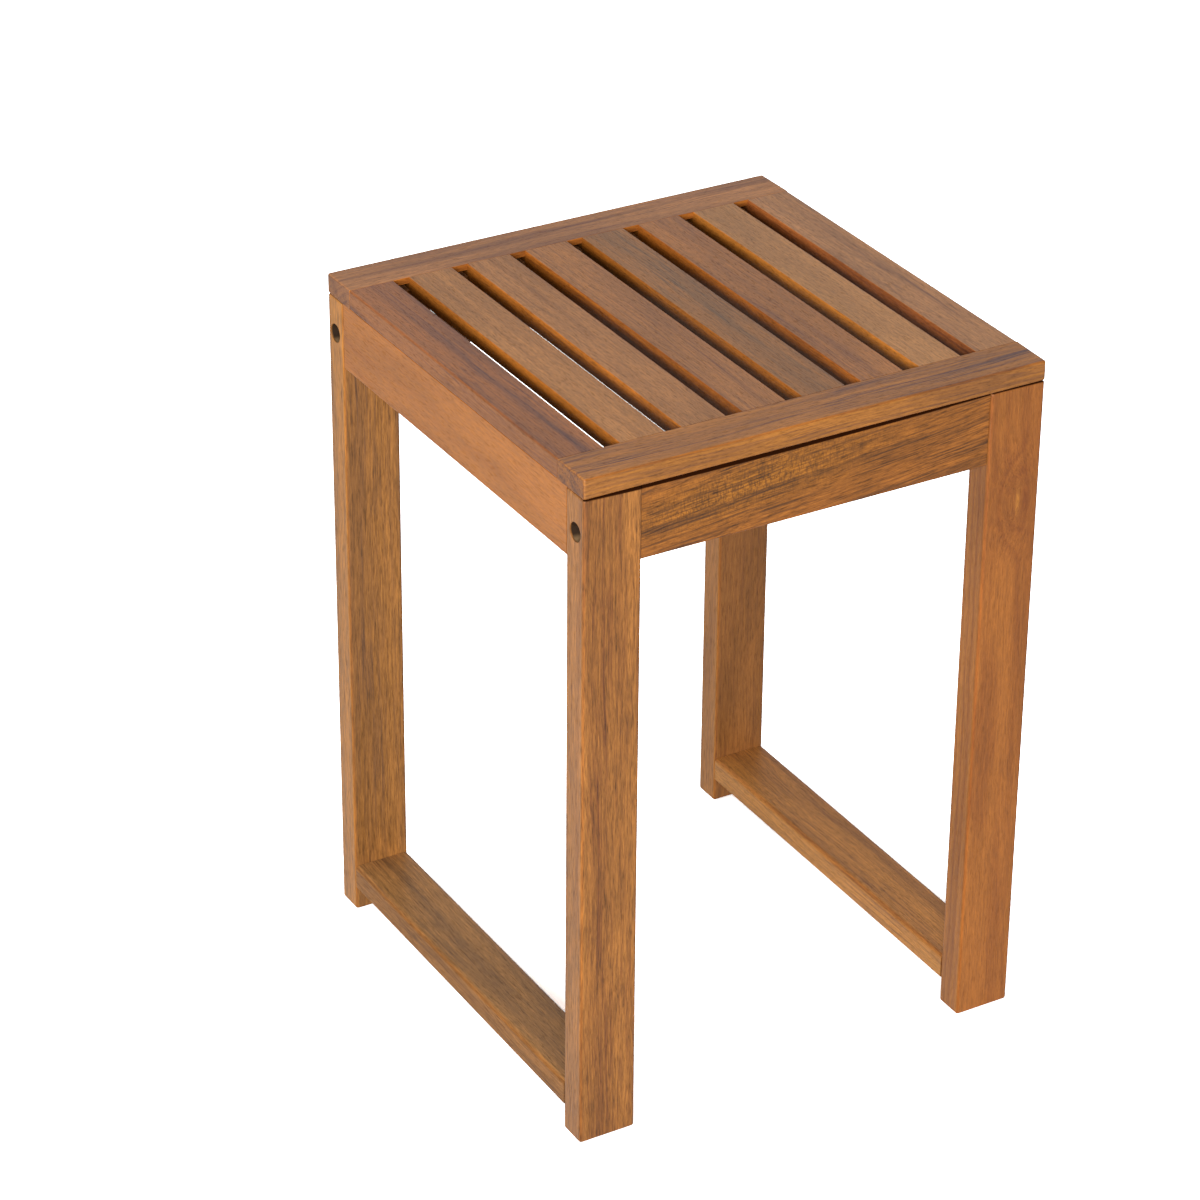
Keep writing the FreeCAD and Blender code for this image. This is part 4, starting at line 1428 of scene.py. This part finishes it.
@dataclass
class Studio:
    """A white sweep with soft light, and the camera where the photograph was taken.

    Attributes:
        eye: The camera's place.
        azimuth: Its turn about the upright, in degrees.
        elevation: How far it looks down, in degrees.
        roll: Its turn about its own line of sight, in degrees.
        lens: Its focal length, for a sensor 36 mm wide.
        shift: How far its lens is shifted, as shares of the sensor's width.
        aim: The place that the lamps face.
        reach: From the stool's middle to the floor's edges, in metres.
        white: How bright the floor looks to the camera, where it is closed in, with painted shade, and
            where it is open.
        mirrored: How bright it is for the light it throws on the stool, and in the stool's reflections.
        surround: How strongly the surroundings light the stool.
    """

    eye: Point = (-1176.1, -1924.6, 1510.2)
    azimuth: float = -30.866
    elevation: float = 28.125
    roll: float = 0.763
    lens: float = 125.22
    shift: tuple[float, float] = (-0.0333, -0.0583)
    aim: Point = (0.0, 0.0, 250.0)
    reach: float = 6.0
    white: tuple[float, float] = (2.9, 6.0)
    mirrored: tuple[float, float] = (0.2, 1.8)
    surround: float = 0.12

    def build(self) -> None:
        """Make the floor, the lamps, the surroundings and the camera."""
        self._floor()
        self._lamp("key softbox", (-1750.0, -2300.0, 1250.0), size=1.5, power=114.0)
        self._lamp("left softbox", (-2900.0, 700.0, 1000.0), size=1.5, power=22.0)
        self._lamp("overhead softbox", (300.0, 500.0, 2600.0), size=1.8, power=9.0)
        self._surroundings()
        self._camera()
        bpy.context.scene.view_settings.view_transform = "Standard"

    def _floor(self) -> None:
        """Lay a pale floor, which looks white and keeps the stool's shadow."""
        far = self.reach
        mesh = bpy.data.meshes.new("studio_floor")
        corners = [(-far, -far, 0.0), (far, -far, 0.0), (far, far, 0.0), (-far, far, 0.0)]
        mesh.from_pydata(corners, [], [(0, 1, 2, 3)])
        show("studio_floor", mesh)
        material = bpy.data.materials.new("white paper sweep")
        tree = bare_tree(material)
        rays = add(tree, "ShaderNodeLightPath").outputs
        mirrored = add(tree, RANGE, {
            0: rays["Is Glossy Ray"], 3: self.mirrored[0], 4: self.mirrored[1],
        })
        # The paper looks white all round the stool. It greys towards the rungs and feet with a painted
        # shade, most where they close in 60 per cent of what it sees within 50 mm
        closed = add(tree, "ShaderNodeAmbientOcclusion", {"Distance": 0.05}, samples=8)
        bright = add(tree, RANGE, {0: closed.outputs["AO"], 1: 0.4, 3: self.white[0], 4: self.white[1]})
        paper = add(tree, RANGE, {0: rays["Is Camera Ray"], 3: mirrored, 4: bright})
        shader = add(tree, "ShaderNodeBsdfDiffuse", {"Color": paper})
        add(tree, "ShaderNodeOutputMaterial", {"Surface": shader})
        mesh.materials.append(material)

    def _lamp(self, name: str, place: Point, size: float, power: float) -> None:
        """Hang a square soft lamp that faces the stool.

        Args:
            name: The lamp's name.
            place: Where it hangs.
            size: The length of its side in metres.
            power: Its power in watts.
        """
        data = bpy.data.lights.new(name, "AREA")
        data.size = size
        data.energy = power
        lamp = show(name, data)
        lamp.location = metres(place)
        lamp.rotation_euler = (metres(self.aim) - lamp.location).to_track_quat("-Z", "Y").to_euler()

    def _surroundings(self) -> None:
        """Surround the stool with white, which lights it only a little."""
        world = bpy.data.worlds.new("white surroundings")
        bpy.context.scene.world = world
        tree = bare_tree(world)
        rays = add(tree, "ShaderNodeLightPath").outputs
        # The rays that look at the background, against those that light the stool
        seen = rays["Is Camera Ray"]
        for kind in ("Is Glossy Ray", "Is Transmission Ray"):
            seen = add(tree, MATH, {0: seen, 1: rays[kind]}, operation="MAXIMUM")
        level = add(tree, RANGE, {0: seen, 3: self.surround, 4: 1.0})
        light = add(tree, "ShaderNodeBackground", {"Color": (1.0, 1.0, 1.0, 1.0), "Strength": level})
        add(tree, "ShaderNodeOutputWorld", {"Surface": light})

    def _camera(self) -> None:
        """Set the camera at the photograph's angle."""
        data = bpy.data.cameras.new("photograph")
        data.sensor_width = 36.0
        data.lens = self.lens
        data.shift_x, data.shift_y = self.shift
        # It sees 50 m far, which takes in the whole floor
        data.clip_end = 50.0
        camera = show("photograph", data)
        turn = Matrix()
        for angle, axis in ((self.azimuth, "Z"), (90.0 - self.elevation, "X"), (self.roll, "Z")):
            turn = turn @ Matrix.Rotation(math.radians(angle), 4, axis)
        camera.matrix_world = Matrix.Translation(metres(self.eye)) @ turn
        bpy.context.scene.camera = camera


# Painted light and shade on the seat boards' narrow side faces: the share of red, green and blue that
# stands in for their warm bounce light, how much painted shade darkens them at the bottom, and their
# specular level
SIDE_BOUNCE_LIGHT = (1.05, 0.80, 0.33)
SIDE_PAINTED_SHADE = 0.65
OILED_GLOSS = 0.06


def oiled(tone: str, cut: float, edge: Point = SIDE_BOUNCE_LIGHT, **rest: Value) -> AcaciaBoard:
    """Give the look of a seat board with painted light and shade on its side faces.

    Args:
        tone: The board's middle colour.
        cut: Its place along the log.
        edge: Share of red, green and blue that is left on its side faces, as painted light.
        rest: Its other settings, as AcaciaBoard names them.

    Returns:
        The board's look.
    """
    return AcaciaBoard(tone, cut, edge=edge, fade=SIDE_PAINTED_SHADE, edge_gloss=OILED_GLOSS, **rest)


# The look of each board, by its CAD node's name
LOOKS = {
    "front_rail": AcaciaBoard(
        "#B37438", 100.0, pith=(20.0, -45.0), dark="#5F4038", bands=0.5, streaks=0.55,
        stripe=Stripe((-1.5, 6.5), (5.5, 5.0), 0.45), edge=(0.905, 0.90, 0.76)),
    "rear_rail": oiled("#B87D4E", 900.0, pith=(-30.0, -40.0), dark="#6C4433", bands=0.5, streaks=0.5),
    "left_edge_slat": AcaciaBoard(
        "#9F643A", 1700.0, pith=(12.0, -50.0), dark="#5F3F38", bands=0.5, streaks=0.45,
        stripe=Stripe((-2.5, 6.0), (4.0, 9.0), 0.6), edge=(0.82, 0.855, 0.85), edge_gloss=0.2),
    "slat_2": oiled("#B67D4A", 2500.0, pith=(-14.0, -35.0), bands=0.2, streaks=0.2),
    "slat_3": oiled("#B07848", 3300.0, pith=(-40.0, -40.0), bands=0.3, streaks=0.4),
    "slat_4": oiled("#A97040", 4100.0, pith=(6.0, -35.0), dark="#6C4433", bands=0.45, streaks=0.45),
    "slat_5": oiled("#9F6A3C", 4900.0, pith=(50.0, -20.0), dark="#5C4A3A", bands=0.35, streaks=0.45,
                    stripe=Stripe((1.0, 4.0), (7.0, 9.0), 0.3)),
    "slat_6": oiled("#AA6F3E", 5700.0, pith=(-60.0, -25.0), dark="#6C4433", bands=0.4, streaks=0.4),
    "slat_7": oiled("#BA8350", 6500.0, pith=(10.0, -50.0), bands=0.15, streaks=0.15),
    "right_edge_slat": oiled("#C18756", 7300.0, (0.75, 0.5, 0.3), pith=(-20.0, -70.0), dark="#714B3A",
                             bands=0.35, streaks=0.45),
    "front_left_leg": AcaciaBoard(
        "#A26A34", 8100.0, pith=(5.0, 80.0), dark="#653A20", streaks=0.45, bands=0.3, pores=0.8,
        fibres=2.6, closeness=0.5, stripe=Stripe((0.0, 8.0), (40.0, 6.0), 0.5),
        edge=(0.95, 0.99, 1.10), joint=(0.7, 1.9)),
    "front_right_leg": AcaciaBoard(
        "#A5652E", 8900.0, pith=(45.0, 10.0), dark="#7A4320", streaks=0.2, rings=0.55, pores=0.4,
        closeness=0.7, edge=(0.873, 0.952, 1.01), joint=(0.4, 0.8), knot=Knot((141.0, -157.0, 361.0))),
    "rear_left_leg": AcaciaBoard(
        "#9D6934", 9700.0, pith=(20.0, 60.0), dark="#5E4230", streaks=0.45, bands=0.25, pores=0.7,
        fibres=2.4, closeness=0.5, stripe=Stripe((0.0, 6.0), (40.0, 5.0), 0.3),
        edge=(1.43, 1.40, 1.18)),
    "rear_right_leg": AcaciaBoard("#976232", 10500.0, pith=(10.0, -60.0), streaks=0.4, bands=0.4,
                                  closeness=0.6, edge=(1.31, 1.38, 1.32)),
    "left_apron": AcaciaBoard("#A5662B", 11300.0, pith=(60.0, 10.0), dark="#85491F", streaks=0.15,
                              bands=0.2, rings=0.1, pores=0.4, fibres=1.2, closeness=0.8),
    "right_apron": AcaciaBoard("#A76C36", 12100.0, pith=(60.0, -20.0)),
    "left_rung": AcaciaBoard("#9F7141", 12900.0, pith=(10.0, -50.0), dark="#5F4630", streaks=0.5,
                             fibres=2.0, closeness=0.7, edge=(0.89, 0.83, 0.82),
                             edge_gloss=OILED_GLOSS),
    "right_rung": AcaciaBoard("#B67A3D", 13700.0, pith=(-20.0, -60.0), streaks=0.4,
                              edge=(1.06, 1.09, 1.02)),
    "front_apron": AcaciaBoard(
        "#9A5E27", 14500.0, pith=(40.0, -60.0), dark="#4E3018", lean=(0.0, 0.09), streaks=0.8,
        bands=0.35, pores=0.8, fibres=2.8, closeness=0.7, gap=1.8,
        curl=Curl((-45.0, -155.5, 424.0), (85.0, 40.0, 15.0))),
    "rear_apron": AcaciaBoard("#A06634", 15300.0, pith=(60.0, 20.0)),
}


def main() -> None:
    """Build the stool's looks and the studio."""
    logging.basicConfig(level=logging.INFO, format="%(name)s: %(message)s")
    workshop = Workshop()
    Seat(workshop).build()
    SideFrames(workshop).build()
    CrossAprons(workshop).build()
    Fittings().build()
    Studio().build()


if __name__ == "__main__":
    main()
